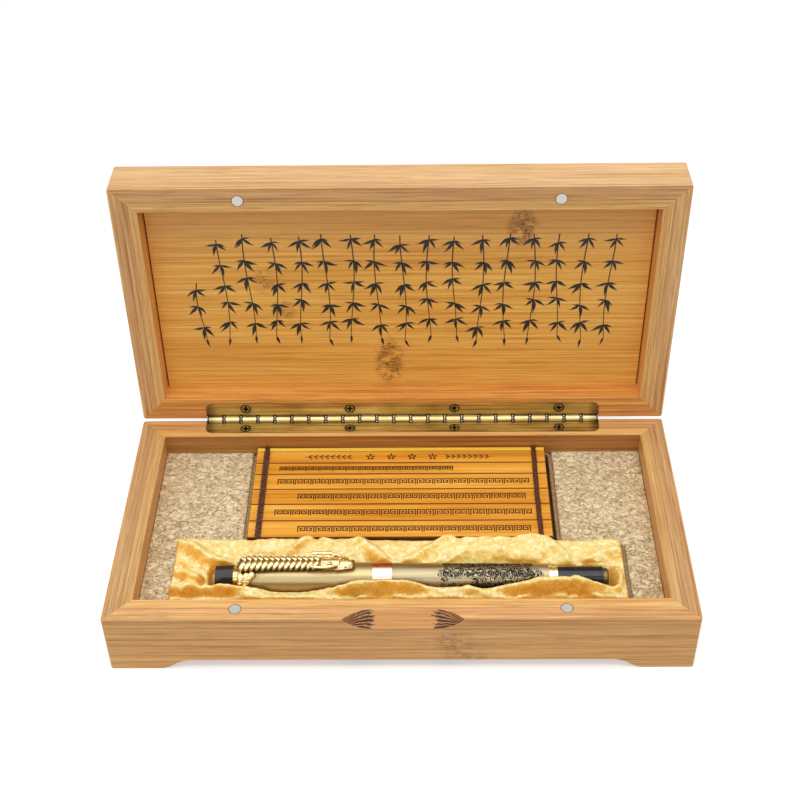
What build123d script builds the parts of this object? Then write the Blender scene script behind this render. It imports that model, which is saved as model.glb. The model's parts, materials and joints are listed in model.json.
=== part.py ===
from build123d import *
import math
import os

# Sizes are millimetres. X runs along the box, Y from its front to its back, and Z up.
# The solids are made about the middle of the base's plan, and moved at the end so that
# the origin is at the middle of the open box's footprint.

# Base
box_length = 216.2
box_depth = 109.2
base_height = 27.0
wall = 10.2
corner_radius = 1.0
edge_radius = 0.35
floor_underside = 6.5
floor_thickness = 3.5
groove_depth = 3.0
joint_play = 0.1

# Feet
foot_height = 4.8
foot_length = 17.0
foot_curve_length = 13.8

# Finger scoop in the front wall
scoop_length = 45.2
scoop_flat = 22.3
scoop_drop = 5.2
scoop_shift = 0.9

# Lid
lid_height = 17.2
lid_recess = 8.8
lid_open_angle = 91.8
panel_sink = 0.2
panel_end_gap = 0.6
tongue_thickness = 2.6
rim_gap = 0.05

# Hinge
hinge_length = 163.0
knuckle_count = 23
knuckle_radius = 1.6
knuckle_gap = 0.45
knuckle_clearance = 0.15
pin_radius = 0.75
pin_clearance = 0.05
pin_offset = 0.57
leaf_thickness = 0.8
leaf_reach = 7.8
leaf_corner = 3.2
leaf_clearance = 0.1

# Hinge screws
screw_spacings = (21.7, 65.0)
screw_inset = 5.0
screw_head_radius = 2.2
screw_head_height = 1.2
screw_shank_radius = 1.0
screw_length = 9.0
screw_slot_width = 0.6
screw_slot_length = 2.6
screw_slot_depth = 0.5
screw_clearance = 0.03
flush_drop = 0.05

# Magnets
magnet_spacing = 60.0
magnet_inset = 5.4
magnet_radius = 2.1
magnet_thickness = 2.0
magnet_hole_clearance = 0.25

# Insert
deck_top = 18.1
deck_thickness = 2.2
deck_edge_radius = 0.8
insert_clearance = 0.2
slip_bay_half = 61.8
pen_bay_half = 86.1
pen_bay_width = 33.6
deck_front_strip = 2.9
bay_corner = 3.0
notch_depth = 6.0
liner_wall = 1.3
liner_floor = 0.8
liner_drop = 0.3

# Slip book
slip_length = 118.2
slip_thickness = 1.9
slip_gap = 0.15
slip_ease = 0.2
book_shift = -0.65
book_wall_gap = 0.4
book_front_gap = 0.25
book_notch_gap = 0.5

# Widths of the top row's slips against each other, since the row fills its bay
front_slip_width = 8.9
second_slip_width = 9.1
third_slip_width = 8.4
fourth_slip_width = 8.6
fifth_slip_width = 6.5
title_slip_width = 7.0

# Slip book's folds
back_edge_slip_height = 8.6
front_edge_step = 2.2
fold_gap = 0.3
slips_in_row = 6

# Binding cords
cord_width_left = 2.3
cord_width_right = 2.0
cord_inset_left = 4.0
cord_inset_right = 4.5
row_cord = 0.7
top_cord = 0.8
thin_cord = 0.3
back_cord = 0.2
front_cord = 0.4
cover_gap = 0.1

# Satin
satin_clearance = 0.3
satin_end_gap = 1.0
satin_floor_rise = 4.2
satin_front_crown = 1.8
satin_back_crown = 2.6
satin_trim = 0.6
satin_slope_margin = 6.5

# Pen
pen_from_bay_front = 14.0
pen_axis_height = 19.5
pen_clearance = 0.35
cap_pull_travel = 50.0
barrel_pull_travel = 62.0
pen_lift_travel = 70.0

# Pen, along its axis from the capped end
finial_length = 1.6
finial_radius = 2.6
crown_length = 6.8
crown_radius = 5.1
crown_tip_radius = 4.8
crown_facets = 10
neck_length = 2.1
neck_radius = 4.3
neck_bands = 3
neck_groove_depth = 0.3
cap_length = 50.2
cap_swell_length = 16.7
cap_shoulder_radius = 4.9
cap_swell_radius = 6.3
cap_lip_radius = 5.9
cap_wall = 0.6
band_length = 7.2
band_proud = 0.05
barrel_length = 58.7
barrel_mouth_radius = 5.65
barrel_end_radius = 5.2
barrel_wall = 0.8
ring_length = 1.4
ring_radius = 4.45
ring_neck_radius = 4.0
ring_gap = 0.5
tail_length = 17.1
tail_radius = 4.25
stud_length = 2.1
stud_radius = 3.6
stud_edge_radius = 1.0
pen_start = -71.4

# Writing end
section_length = 20.0
section_radius = 4.3
section_lip_radius = 4.0
section_waist_radius = 3.75
section_spigot_length = 9.0
nib_length = 22.0
nib_shoulder_length = 7.3
nib_sheet = 0.35
nib_slit = 0.15
nib_slit_length = 11.0
nib_hole_radius = 0.7
feed_length = 16.0
feed_radius = 2.7
feed_tip_radius = 0.9
feed_fins = 8
feed_fin_pitch = 1.0
feed_fin_depth = 1.3
inner_cap_wall = 0.5
inner_cap_play = 0.3
pen_play = 0.1

# Converter
converter_radius = 3.5
converter_wall = 0.5
converter_length = 32.0
converter_collar_length = 8.0
knob_end = 0.8
knob_radius = 2.9
piston_length = 5.0
piston_play = 0.05
piston_rod_radius = 0.9
rod_reach = 1.0
piston_travel = 14.0

# Clip
clip_length = 44.0
clip_height = 8.2
clip_half_width = 2.8
clip_half_height = 1.6
clip_root_gap = 0.4
clip_root_height = 6.0
clip_root_half_width = 2.0
clip_root_half_height = 1.1
clip_curl_length = 3.2
clip_head_length = 12.5
clip_head_half_width = 3.3
clip_head_half_height = 1.8
clip_snout_drop = 0.4
clip_snout_half_width = 1.3
clip_snout_half_height = 0.7
stone_radius = 0.75
stone_spread = 2.6
stone_setback = 6.9
stone_rise = 0.8
stone_seat_gap = 0.02

half_length = box_length / 2
half_depth = box_depth / 2
inner_half_length = half_length - wall
inner_half_depth = half_depth - wall
floor_top = floor_underside + floor_thickness
pen_bay_front = inner_half_depth - deck_front_strip
slip_bay_front = pen_bay_front - pen_bay_width
pin_y = half_depth + pin_offset
pin_z = base_height + rim_gap / 2
lid_rim = base_height + rim_gap
overcut = 1.0
tolerance = 0.01


def block(x, y, z):
    """A box from the low and high values of each axis."""
    low = Vector(x[0], y[0], z[0])
    high = Vector(x[1], y[1], z[1])
    middle = (low + high) * 0.5
    size = high - low
    return Pos(middle.X, middle.Y, middle.Z) * Box(size.X, size.Y, size.Z)


def plan_block(grow, z):
    """A box over the inside of the walls, grown past their inner faces by a distance."""
    x = inner_half_length + grow
    y = inner_half_depth + grow
    return block((-x, x), (-y, y), z)


def wall_ring(low, height, rim_first):
    """The four walls in one ring, rounded at the corners and eased at the rim and outer edges."""
    outside = extrude(RectangleRounded(box_length, box_depth, corner_radius), height)
    inside = extrude(Rectangle(2 * inner_half_length, 2 * inner_half_depth), height)
    ring = outside - inside
    levels = ring.edges().filter_by(GeomType.LINE).filter_by(Axis.Z, reverse=True).group_by(Axis.Z)
    rim = levels[0] if rim_first else levels[-1]
    far = levels[-1] if rim_first else levels[0]
    outer_edges = [e for e in far if is_outer(e)]
    ring = fillet(list(rim) + outer_edges, edge_radius)
    return Pos(0, 0, low) * ring


def is_outer(edge):
    """Whether a level edge lies on the outside of the ring."""
    centre = edge.center()
    return abs(centre.X) > half_length - wall / 2 or abs(centre.Y) > half_depth - wall / 2


def mitred(ring, side):
    """One wall of a ring, cut at 45 degrees through the two corners at its ends."""
    reach = wall + overcut
    out_x, out_y = half_length + overcut, half_depth + overcut
    in_x, in_y = half_length - reach, half_depth - reach
    if side in ("front", "back"):
        sign = -1 if side == "front" else 1
        corners = [(-out_x, sign * out_y), (out_x, sign * out_y), (in_x, sign * in_y), (-in_x, sign * in_y)]
    else:
        sign = -1 if side == "left" else 1
        corners = [(sign * out_x, -out_y), (sign * out_x, out_y), (sign * in_x, in_y), (sign * in_x, -in_y)]
    tall = base_height + lid_height
    wedge = extrude(make_face(Polyline(*corners, close=True)), 2 * tall, both=True)
    return ring & wedge


def arch_profile(half_span):
    """The hollow between two feet: flat below the wall, with a double curve down to each foot."""
    foot_edge = half_span - foot_length
    curve_top = foot_edge - foot_curve_length
    middle_x = foot_edge - foot_curve_length / 2
    middle_y = foot_height / 2
    right_low = TangentArc((foot_edge, 0), (middle_x, middle_y), tangent=(-1, 0))
    right_high = TangentArc((curve_top, foot_height), (middle_x, middle_y), tangent=(1, 0))
    left_low = TangentArc((-foot_edge, 0), (-middle_x, middle_y), tangent=(1, 0))
    left_high = TangentArc((-curve_top, foot_height), (-middle_x, middle_y), tangent=(-1, 0))
    top = Line((-curve_top, foot_height), (curve_top, foot_height))
    below = Polyline((foot_edge, 0), (foot_edge, -overcut), (-foot_edge, -overcut), (-foot_edge, 0))
    return make_face([right_low, right_high, left_low, left_high, top, *below.edges()])


def foot_arches():
    """The hollows between the feet, right through the base both ways."""
    along_y = extrude(Plane.XZ * arch_profile(half_length), box_depth, both=True)
    along_x = extrude(Plane.YZ * arch_profile(half_depth), box_length, both=True)
    return along_y, along_x


def finger_scoop():
    """A slanted cut across the front wall's top edge, flat in the middle and pointed at its ends."""
    depth = scoop_drop / math.sqrt(2)
    flat, end = scoop_flat / 2, scoop_length / 2
    slope = Plane(origin=(scoop_shift, -half_depth, base_height), x_dir=(1, 0, 0), z_dir=(0, 1, 1))
    floor = Line((-flat, depth), (flat, depth))
    right = TangentArc((flat, depth), (end, 0), tangent=(1, 0))
    left = TangentArc((-flat, depth), (-end, 0), tangent=(-1, 0))
    above = Polyline((end, 0), (end, -wall), (-end, -wall), (-end, 0))
    return extrude(slope * make_face([floor, right, left, *above.edges()]), wall, both=True)


def magnet_places():
    """The plan positions of the magnets in a rim."""
    return [(x, -half_depth + magnet_inset) for x in (-magnet_spacing, magnet_spacing)]


def disc(place, radius, z):
    """An upright round disc between two heights."""
    return Pos(place[0], place[1], (z[0] + z[1]) / 2) * Cylinder(radius, z[1] - z[0])


def screw_places():
    """The plan positions of one leaf's screws."""
    spread = [-s for s in reversed(screw_spacings)] + list(screw_spacings)
    return [(x, half_depth - screw_inset) for x in spread]


def screw_body(place, grow):
    """A countersunk screw driven down from the base's rim, grown by a clearance."""
    top = base_height - flush_drop
    head = top - screw_head_height
    outline = Polyline(
        (0, top),
        (screw_head_radius + grow, top),
        (screw_shank_radius + grow, head - grow),
        (screw_shank_radius + grow, top - screw_length - grow),
        (0, top - screw_length - screw_shank_radius - grow),
        close=True,
    )
    turned_screw = revolve(Plane.XZ * make_face(outline), Axis.Z)
    return Pos(place[0], place[1], 0) * turned_screw


def screw_hole(place):
    """The countersunk hole that a screw sits in, open above its head."""
    radius = screw_head_radius + screw_clearance
    mouth = disc(place, radius, (base_height - flush_drop, base_height + overcut))
    return screw_body(place, screw_clearance) + mouth


def screw(place):
    """One screw with a crossed slot in its head."""
    z = (base_height - flush_drop - screw_slot_depth, base_height)
    half, arm = screw_slot_width / 2, screw_slot_length / 2
    across = block((place[0] - arm, place[0] + arm), (place[1] - half, place[1] + half), z)
    along = block((place[0] - half, place[0] + half), (place[1] - arm, place[1] + arm), z)
    return screw_body(place, 0) - across - along


def mirrored_to_lid(shape):
    """A shape of the base's rim as it faces it from the closed lid's rim."""
    return mirror(shape, Plane.XY.offset(pin_z))


def opened(shape):
    """A piece of the closed lid turned about the hinge pin to where the lid stands open."""
    return shape.rotate(Axis((0, pin_y, pin_z), (1, 0, 0)), -lid_open_angle)


def knuckle_spans():
    """The start and end of each knuckle along the pin."""
    pitch = hinge_length / knuckle_count
    start = -hinge_length / 2
    return [
        (start + n * pitch + knuckle_gap / 2, start + (n + 1) * pitch - knuckle_gap / 2)
        for n in range(knuckle_count)
    ]


def along_pin(radius, span):
    """A round bar on the pin's axis."""
    middle = (span[0] + span[1]) / 2
    return Pos(middle, pin_y, pin_z) * Rot(0, 90, 0) * Cylinder(radius, span[1] - span[0])


def leaf_plan(grow):
    """The plan outline of a leaf, rounded at the two corners away from the pin."""
    half = hinge_length / 2 + grow
    near = half_depth - leaf_reach - grow
    outline = make_face(Polyline((-half, near), (half, near), (half, pin_y), (-half, pin_y), close=True))
    return fillet(outline.vertices().sort_by(Axis.Y)[:2], leaf_corner)


def hinge_leaf(own):
    """The base's leaf: a plate let into the rim with every second knuckle, from number own on."""
    plate = Pos(0, 0, base_height - leaf_thickness) * extrude(leaf_plan(0), leaf_thickness)
    for number, span in enumerate(knuckle_spans()):
        if number % 2 == own:
            plate += along_pin(knuckle_radius, span)
        else:
            room = (span[0] - knuckle_gap, span[1] + knuckle_gap)
            plate -= along_pin(knuckle_radius + knuckle_clearance, room)
    plate -= along_pin(pin_radius + pin_clearance, (-half_length, half_length))
    for place in screw_places():
        plate -= screw_hole(place)
    return plate


def hinge_seat():
    """What the hinge takes out of the base's back wall: mortise, knuckle groove and screw holes."""
    low = base_height - leaf_thickness
    seat = Pos(0, 0, low) * extrude(leaf_plan(leaf_clearance), leaf_thickness + overcut)
    half = hinge_length / 2 + leaf_clearance
    seat += along_pin(knuckle_radius + knuckle_clearance, (-half, half))
    for place in screw_places():
        seat += screw_hole(place)
    return seat


def base_walls():
    """The base's four walls, grooved for the floor and cut away between the feet."""
    ring = wall_ring(0, base_height, rim_first=False)
    ring -= plan_block(groove_depth, (floor_underside, floor_top))
    for arch in foot_arches():
        ring -= arch
    walls = {f"base_{side}_wall": mitred(ring, side) for side in ("front", "back", "left", "right")}
    walls["base_front_wall"] -= finger_scoop()
    hole = magnet_radius + magnet_hole_clearance
    for place in magnet_places():
        depth = magnet_thickness + flush_drop
        walls["base_front_wall"] -= disc(place, hole, (base_height - depth, base_height + overcut))
    walls["base_back_wall"] -= hinge_seat()
    return walls


def base_floor():
    """The floor board, held in the walls' groove."""
    return plan_block(groove_depth - joint_play, (floor_underside, floor_top))


def lid_rails():
    """The closed lid's four rails, grooved for the panel's tongue."""
    ring = wall_ring(lid_rim, lid_height, rim_first=True)
    ring -= plan_block(groove_depth, tongue_levels())
    rails = {f"lid_{side}_rail": mitred(ring, side) for side in ("front", "back", "left", "right")}
    hole = magnet_radius + magnet_hole_clearance
    for place in magnet_places():
        depth = magnet_thickness + flush_drop
        rails["lid_front_rail"] -= disc(place, hole, (lid_rim - overcut, lid_rim + depth))
    rails["lid_back_rail"] -= mirrored_to_lid(hinge_seat())
    return rails


def tongue_levels():
    """The low and high faces of the lid panel's tongue."""
    middle = lid_rim + (lid_recess + lid_height - panel_sink) / 2
    return middle - tongue_thickness / 2, middle + tongue_thickness / 2


def lid_panel():
    """The closed lid's panel, with a tongue round its edge."""
    x = inner_half_length - panel_end_gap
    y = inner_half_depth - joint_play
    field = block((-x, x), (-y, y), (lid_rim + lid_recess, lid_rim + lid_height - panel_sink))
    return field + plan_block(groove_depth - joint_play, tongue_levels())


def magnets(low, high):
    """The two magnets in one rim."""
    return [disc(place, magnet_radius, (low, high)) for place in magnet_places()]


def bay_outline(shrink):
    """The T-shaped opening of the insert: a bay for the slips behind a longer bay for the pen."""
    slip_x = slip_bay_half - shrink
    pen_x = pen_bay_half - shrink
    step = -slip_bay_front - shrink
    front = -pen_bay_front + shrink
    back = inner_half_depth - insert_clearance - shrink
    outline = make_face(
        Polyline(
            (-slip_x, back),
            (-slip_x, step),
            (-pen_x, step),
            (-pen_x, front),
            (pen_x, front),
            (pen_x, step),
            (slip_x, step),
            (slip_x, back),
            close=True,
        )
    )
    step_corners = [v for v in outline.vertices() if is_step_corner(v, slip_x, step)]
    others = [v for v in outline.vertices() if v not in step_corners]
    outline = fillet(others, max(bay_corner - shrink, bay_corner / 2))
    step_corners = [v for v in outline.vertices() if is_step_corner(v, slip_x, step)]
    return fillet(step_corners, bay_corner + shrink)


def is_step_corner(vertex, slip_x, step):
    """Whether a corner of the opening is one of the two between its bays."""
    return abs(abs(vertex.X) - slip_x) < tolerance and abs(vertex.Y - step) < tolerance


def book_x():
    """The ends of the slips along the box."""
    return book_shift - slip_length / 2, book_shift + slip_length / 2


def insert_opening():
    """The opening cut through the insert's deck and support, out to the back wall."""
    bay = extrude(bay_outline(0), base_height)
    back = block((-slip_bay_half, slip_bay_half), (0, half_depth), (0, base_height))
    return bay + back


def insert_deck():
    """The covered board round the two bays."""
    low = deck_top - deck_thickness
    deck = plan_block(-insert_clearance, (low, deck_top)) - insert_opening()
    bay_edges = [
        e
        for e in deck.faces().sort_by(Axis.Z)[-1].edges()
        if abs(e.center().X) < inner_half_length - wall / 2 and e.center().Y < inner_half_depth - bay_corner
    ]
    return fillet(bay_edges, deck_edge_radius)


def insert_support():
    """The block that carries the deck above the floor."""
    return plan_block(-insert_clearance, (floor_top, deck_top - deck_thickness)) - insert_opening()


def recess_liner():
    """A thin tray that lines both bays, open at the back where the slips reach the wall."""
    outside = extrude(bay_outline(insert_clearance), deck_top - liner_drop - floor_top)
    inside = Pos(0, 0, liner_floor) * extrude(bay_outline(insert_clearance + liner_wall), base_height)
    tray = Pos(0, 0, floor_top) * (outside - inside)
    low, high = book_x()
    notch_x = (low - book_notch_gap, high + book_notch_gap)
    notch_y = (inner_half_depth - notch_depth, half_depth)
    return tray - block(notch_x, notch_y, (floor_top + liner_floor, base_height))


# Heights of the slip book's rows, from the liner's floor up
book_floor = floor_top + liner_floor
row_pitch = slip_thickness + row_cord
bottom_row = book_floor + row_cord
third_row = bottom_row + row_pitch
second_row = third_row + row_pitch
top_row = second_row + row_pitch
top_face = top_row + slip_thickness

# Places of the slip book from front to back
book_back = inner_half_depth - book_wall_gap - back_cord
top_back = book_back - slip_thickness - fold_gap
top_front = book_front_gap - slip_bay_front
core_front = top_front + front_edge_step


def slip(y, z):
    """One slip with eased long edges."""
    stick = block(book_x(), y, z)
    return chamfer(stick.edges().filter_by(Axis.X), slip_ease)


def top_slips():
    """The row of written slips on top, from the front one to the title slip."""
    widths = (
        front_slip_width,
        second_slip_width,
        third_slip_width,
        fourth_slip_width,
        fifth_slip_width,
        title_slip_width,
    )
    filled = top_back - top_front - slip_gap * (len(widths) - 1)
    slips = {}
    y = top_front
    for number, relative_width in enumerate(widths, start=1):
        width = relative_width * filled / sum(widths)
        slips[f"slip_{number}"] = slip((y, y + width), (top_row, top_face))
        y += width + slip_gap
    return slips


def lower_row(z):
    """A row of slips folded under the top one."""
    width = (top_back - core_front - slip_gap * (slips_in_row - 1)) / slips_in_row
    starts = [core_front + n * (width + slip_gap) for n in range(slips_in_row)]
    return [slip((y, y + width), (z, z + slip_thickness)) for y in starts]


def back_edge_slip():
    """The slip that stands on edge at the back fold."""
    return slip((book_back - slip_thickness, book_back), (top_face - back_edge_slip_height, top_face))


def front_edge_slip():
    """The slip that stands on edge at the front fold, under the top row."""
    back = core_front - fold_gap
    return slip((back - slip_thickness, back), (bottom_row, second_row + slip_thickness))


def cord_x(side):
    """The ends of a cord's width along the box."""
    low, high = book_x()
    if side == "left":
        return low + cord_inset_left - cord_width_left / 2, low + cord_inset_left + cord_width_left / 2
    return high - cord_inset_right - cord_width_right / 2, high - cord_inset_right + cord_width_right / 2


def cover_cord(side):
    """The part of a cord that wraps the top row."""
    x = cord_x(side)
    front = top_front - front_cord
    over = block(x, (front, top_back), (top_face, top_face + top_cord))
    under = block(x, (front, top_back), (top_row - thin_cord, top_row))
    link = block(x, (front, top_front), (top_row - thin_cord, top_face + top_cord))
    return over + under + link


def core_cord(side):
    """The part of a cord that holds the folded rows and the two slips on edge."""
    x = cord_x(side)
    fold_front = core_front - fold_gap - slip_thickness
    front = fold_front - back_cord
    back = book_back + back_cord
    second_top = second_row + slip_thickness
    over_second = second_top + row_cord - thin_cord - cover_gap
    cord = block(x, (front, back), (book_floor, bottom_row))
    cord += block(x, (book_back, back), (book_floor, top_face + top_cord))
    cord += block(x, (book_back - slip_thickness, back), (top_face, top_face + top_cord))
    cord += block(x, (front, fold_front), (book_floor, over_second))
    cord += block(x, (front, top_back), (second_top, over_second))
    cord += block(x, (core_front - fold_gap, core_front), (bottom_row, over_second))
    cord += block(x, (core_front, top_back), (bottom_row + slip_thickness, third_row))
    cord += block(x, (core_front, top_back), (third_row + slip_thickness, second_row))
    return cord


# Stations of the pen along the box
crown_x = pen_start + finial_length
neck_x = crown_x + crown_length
cap_x = neck_x + neck_length
band_x = cap_x + cap_length
mouth_x = band_x + band_length
ring_x = mouth_x + barrel_length
tail_x = ring_x + 2 * ring_length + ring_gap
stud_x = tail_x + tail_length
pen_end = stud_x + stud_length
pen_y = pen_from_bay_front - pen_bay_front
cap_bore = cap_lip_radius - cap_wall
barrel_bore = barrel_mouth_radius - barrel_wall
collar_end = mouth_x + converter_length + converter_collar_length
rod_end = collar_end + rod_reach
rod_bore = piston_rod_radius + 2 * piston_play
on_pen_axis = Pos(0, pen_y, pen_axis_height)


def turned(*edges):
    """A solid turned about the pen's axis from its half outline of (station, radius) edges."""
    return on_pen_axis * revolve(make_face([e for part in edges for e in part.edges()]), Axis.X)


def turned_points(*points):
    """A solid turned about the pen's axis from the corners of its half outline."""
    return turned(Polyline(*points, close=True))


def tube(x, outer, inner):
    """A straight tube on the pen's axis."""
    return turned_points((x[0], inner), (x[1], inner), (x[1], outer), (x[0], outer))


def rod(x, radius):
    """A straight rod on the pen's axis."""
    return turned_points((x[0], 0), (x[1], 0), (x[1], radius), (x[0], radius))


def cap_finial():
    """The domed button at the capped end."""
    dome = TangentArc((pen_start, 0), (crown_x, finial_radius), tangent=(0, 1))
    base = Polyline((pen_start, 0), (crown_x, 0), (crown_x, finial_radius))
    return turned(dome, base)


def cap_crown():
    """The faceted crown, wider towards the cap."""
    tip = Plane(origin=(crown_x, pen_y, pen_axis_height), z_dir=(1, 0, 0))
    root = Plane(origin=(neck_x, pen_y, pen_axis_height), z_dir=(1, 0, 0))
    shape = loft(
        [
            tip * RegularPolygon(crown_tip_radius, crown_facets),
            root * RegularPolygon(crown_radius, crown_facets),
        ]
    )
    return shape


def cap_neck():
    """The ring between the crown and the cap, with a spigot that carries the inner cap."""
    band = neck_length / neck_bands
    groove_radius = neck_radius - neck_groove_depth
    spigot_radius = inner_cap_radius() - inner_cap_wall
    return turned_points(
        (neck_x, 0),
        (neck_x, neck_radius),
        (neck_x + band, neck_radius),
        (neck_x + band, groove_radius),
        (cap_x - band, groove_radius),
        (cap_x - band, neck_radius),
        (cap_x, neck_radius),
        (cap_x, spigot_radius),
        (cap_x + neck_length, spigot_radius),
        (cap_x + neck_length, 0),
    )


def inner_cap_radius():
    """The outside of the inner cap, clear of the cap's bore at its narrow end."""
    return cap_shoulder_radius - cap_wall - inner_cap_play


def cap_shell():
    """The cap's metal tube, narrow at the crown, swelling, and closing in to the band."""
    start = Line((cap_x, cap_shoulder_radius - cap_wall), (cap_x, cap_shoulder_radius))
    lip = Line((band_x, cap_bore), (band_x, cap_lip_radius))
    return turned(*cap_swell(0), *cap_swell(cap_wall), start, lip)


def cap_swell(inset):
    """The cap's side in two arcs that meet level at its widest place."""
    widest = (cap_x + cap_swell_length, cap_swell_radius - inset)
    narrow = TangentArc(widest, (cap_x, cap_shoulder_radius - inset), tangent=(-1, 0))
    mouth = TangentArc(widest, (band_x, cap_lip_radius - inset), tangent=(1, 0))
    return narrow, mouth


def cap_band():
    """The polished band at the cap's mouth."""
    return tube((band_x, mouth_x), cap_lip_radius + band_proud, cap_bore)


def inner_cap():
    """The sleeve in the cap that seals round the section."""
    radius = inner_cap_radius()
    return tube((cap_x, mouth_x - section_length - pen_play), radius, radius - inner_cap_wall)


def barrel_shell():
    """The barrel's tube, narrowing slowly to the rings."""
    outer = Line((mouth_x, barrel_mouth_radius), (ring_x, barrel_end_radius))
    end_bore = ring_neck_radius - barrel_wall
    rest = Polyline(
        (ring_x, barrel_end_radius),
        (ring_x, end_bore),
        (ring_x - ring_length, end_bore),
        (ring_x - ring_length, barrel_end_radius - barrel_wall),
        (mouth_x, barrel_bore),
        (mouth_x, barrel_mouth_radius),
    )
    shell = turned(outer, rest)
    edge = shell.edges().filter_by(GeomType.CIRCLE).sort_by(Axis.X)[-2:]
    return fillet(edge.sort_by(SortBy.RADIUS)[-1], edge_radius)


def barrel_rings():
    """The two gold rings between the barrel and the tail."""
    first = rod((ring_x, ring_x + ring_length), ring_radius)
    neck = rod((ring_x + ring_length, tail_x - ring_length), ring_neck_radius)
    second = rod((tail_x - ring_length, tail_x), ring_radius)
    spigot = rod((ring_x - ring_length, ring_x), ring_neck_radius - barrel_wall)
    return first + neck + second + spigot


def barrel_tail():
    """The gloss tail of the barrel."""
    tail = rod((tail_x, stud_x), tail_radius)
    return fillet(tail.edges().sort_by(Axis.X)[-1], edge_radius)


def tail_stud():
    """The short plug that closes the tail."""
    stud = rod((stud_x, pen_end), stud_radius)
    return fillet(stud.edges().sort_by(Axis.X)[-1], stud_edge_radius)


def grip_section():
    """The part held when writing, with a spigot into the barrel and a bore for feed and converter."""
    front = mouth_x - section_length
    waist = mouth_x - section_length / 2
    grip = ThreePointArc(
        (front, section_lip_radius),
        (waist, section_waist_radius),
        (mouth_x, section_radius),
    )
    spigot_radius = barrel_bore - pen_play
    spigot_end = mouth_x + section_spigot_length
    rest = Polyline(
        (mouth_x, section_radius),
        (mouth_x, spigot_radius),
        (spigot_end, spigot_radius),
        (spigot_end, converter_radius),
        (mouth_x - converter_radius, converter_radius),
        (mouth_x - converter_radius, feed_radius),
        (front, feed_radius),
        (front, section_lip_radius),
    )
    return turned(grip, rest)


def nib():
    """The curved nib, slit from its hole to its tip."""
    root = mouth_x - section_length
    tip = root - nib_length
    outer = feed_radius + nib_sheet
    sheet = tube((tip, root), outer, feed_radius)
    shoulder = root - nib_shoulder_length
    outline = make_face(
        Polyline(
            (root, -feed_radius),
            (shoulder, -feed_radius),
            (tip, -nib_hole_radius),
            (tip, nib_hole_radius),
            (shoulder, feed_radius),
            (root, feed_radius),
            close=True,
        )
    )
    over = on_pen_axis * extrude(outline, 2 * outer)
    hole_x = tip + nib_slit_length
    slit = block(
        (tip - overcut, hole_x),
        (pen_y - nib_slit / 2, pen_y + nib_slit / 2),
        (pen_axis_height, pen_axis_height + 2 * outer),
    )
    hole = Pos(hole_x, pen_y, pen_axis_height + outer) * Cylinder(nib_hole_radius, 2 * outer)
    return (sheet & over) - slit - hole


def feed():
    """The finned feed under the nib, which runs back into the section's bore."""
    root = mouth_x - section_length
    tip = root - feed_length
    back = mouth_x - converter_radius
    bar = rod((root, back), feed_radius)
    nose = turned_points((tip, 0), (tip, feed_tip_radius), (root, feed_radius), (root, 0))
    across = (pen_y - feed_radius, pen_y + feed_radius)
    nose &= block((tip, root), across, (0, pen_axis_height))
    for n in range(feed_fins):
        x = root - feed_fin_pitch * (n + 1)
        nose -= block((x, x + feed_fin_pitch / 2), across, (0, pen_axis_height - feed_fin_depth))
    return bar + nose


def converter_tube():
    """The ink chamber, plugged into the section."""
    span = (mouth_x, mouth_x + converter_length)
    return tube(span, converter_radius, converter_radius - converter_wall)


def converter_collar():
    """The metal collar behind the ink chamber, through which the rod runs."""
    return tube((mouth_x + converter_length, collar_end), converter_radius, rod_bore)


def converter_knob():
    """The hollow knob that is turned to draw ink, long enough for the rod to draw back into it."""
    start = collar_end + pen_play
    bore_end = rod_end + piston_travel + pen_play
    return rod((start, bore_end + knob_end), knob_radius) - rod((start, bore_end), rod_bore)


def converter_piston():
    """The piston and its rod, at the writing end of the chamber."""
    start = mouth_x + pen_play
    piston = rod((start, start + piston_length), converter_radius - converter_wall - piston_play)
    return piston + rod((start, rod_end), piston_rod_radius)


def clip():
    """A serpent-shaped clip: a root that curls down to the cap, a long back and a broader head."""
    start = cap_x - clip_root_gap
    end = start + clip_length
    head = end - clip_head_length
    curl_half_width = (clip_root_half_width + clip_half_width) / 2
    curl_half_height = (clip_root_half_height + clip_half_height) / 2
    brow_half_width = (clip_head_half_width + clip_snout_half_width) / 2
    brow_half_height = (clip_head_half_height + clip_snout_half_height) / 2
    stations = (
        (start, clip_root_height, clip_root_half_width, clip_root_half_height),
        (start + clip_curl_length, clip_height, curl_half_width, curl_half_height),
        (start + clip_head_length, clip_height, clip_half_width, clip_half_height),
        (head, clip_height, clip_half_width, clip_half_height),
        (head + clip_head_length / 3, clip_height, clip_head_half_width, clip_head_half_height),
        (end - clip_curl_length, clip_height, brow_half_width, brow_half_height),
        (end, clip_height - clip_snout_drop, clip_snout_half_width, clip_snout_half_height),
    )
    sections = [
        Plane(origin=(x, pen_y, pen_axis_height + z), x_dir=(0, 1, 0), z_dir=(1, 0, 0)) * Ellipse(w, h)
        for x, z, w, h in stations
    ]
    return loft(sections) - stone_balls(0)


def stone_balls(shrink):
    """The two stones, which are also cut from the clip's head as their seats."""
    x = cap_x - clip_root_gap + clip_length - stone_setback
    z = pen_axis_height + clip_height + stone_rise
    ball = Sphere(stone_radius - shrink)
    return Pos(x, pen_y - stone_spread, z) * ball + Pos(x, pen_y + stone_spread, z) * ball


# Satin lining: fold heights of its front and back rolls at stations along the box
satin_folds = (
    (-84.0, 20.5, 21.5),
    (-75.0, 23.0, 22.0),
    (-62.0, 23.5, 22.0),
    (-50.0, 19.0, 21.6),
    (-36.0, 18.6, 22.6),
    (-20.0, 25.2, 23.0),
    (-4.0, 26.2, 21.8),
    (10.0, 22.0, 22.0),
    (24.0, 22.0, 23.6),
    (37.0, 21.4, 23.6),
    (50.0, 26.0, 23.4),
    (66.0, 26.2, 21.4),
    (84.0, 21.5, 21.0),
)


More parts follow.
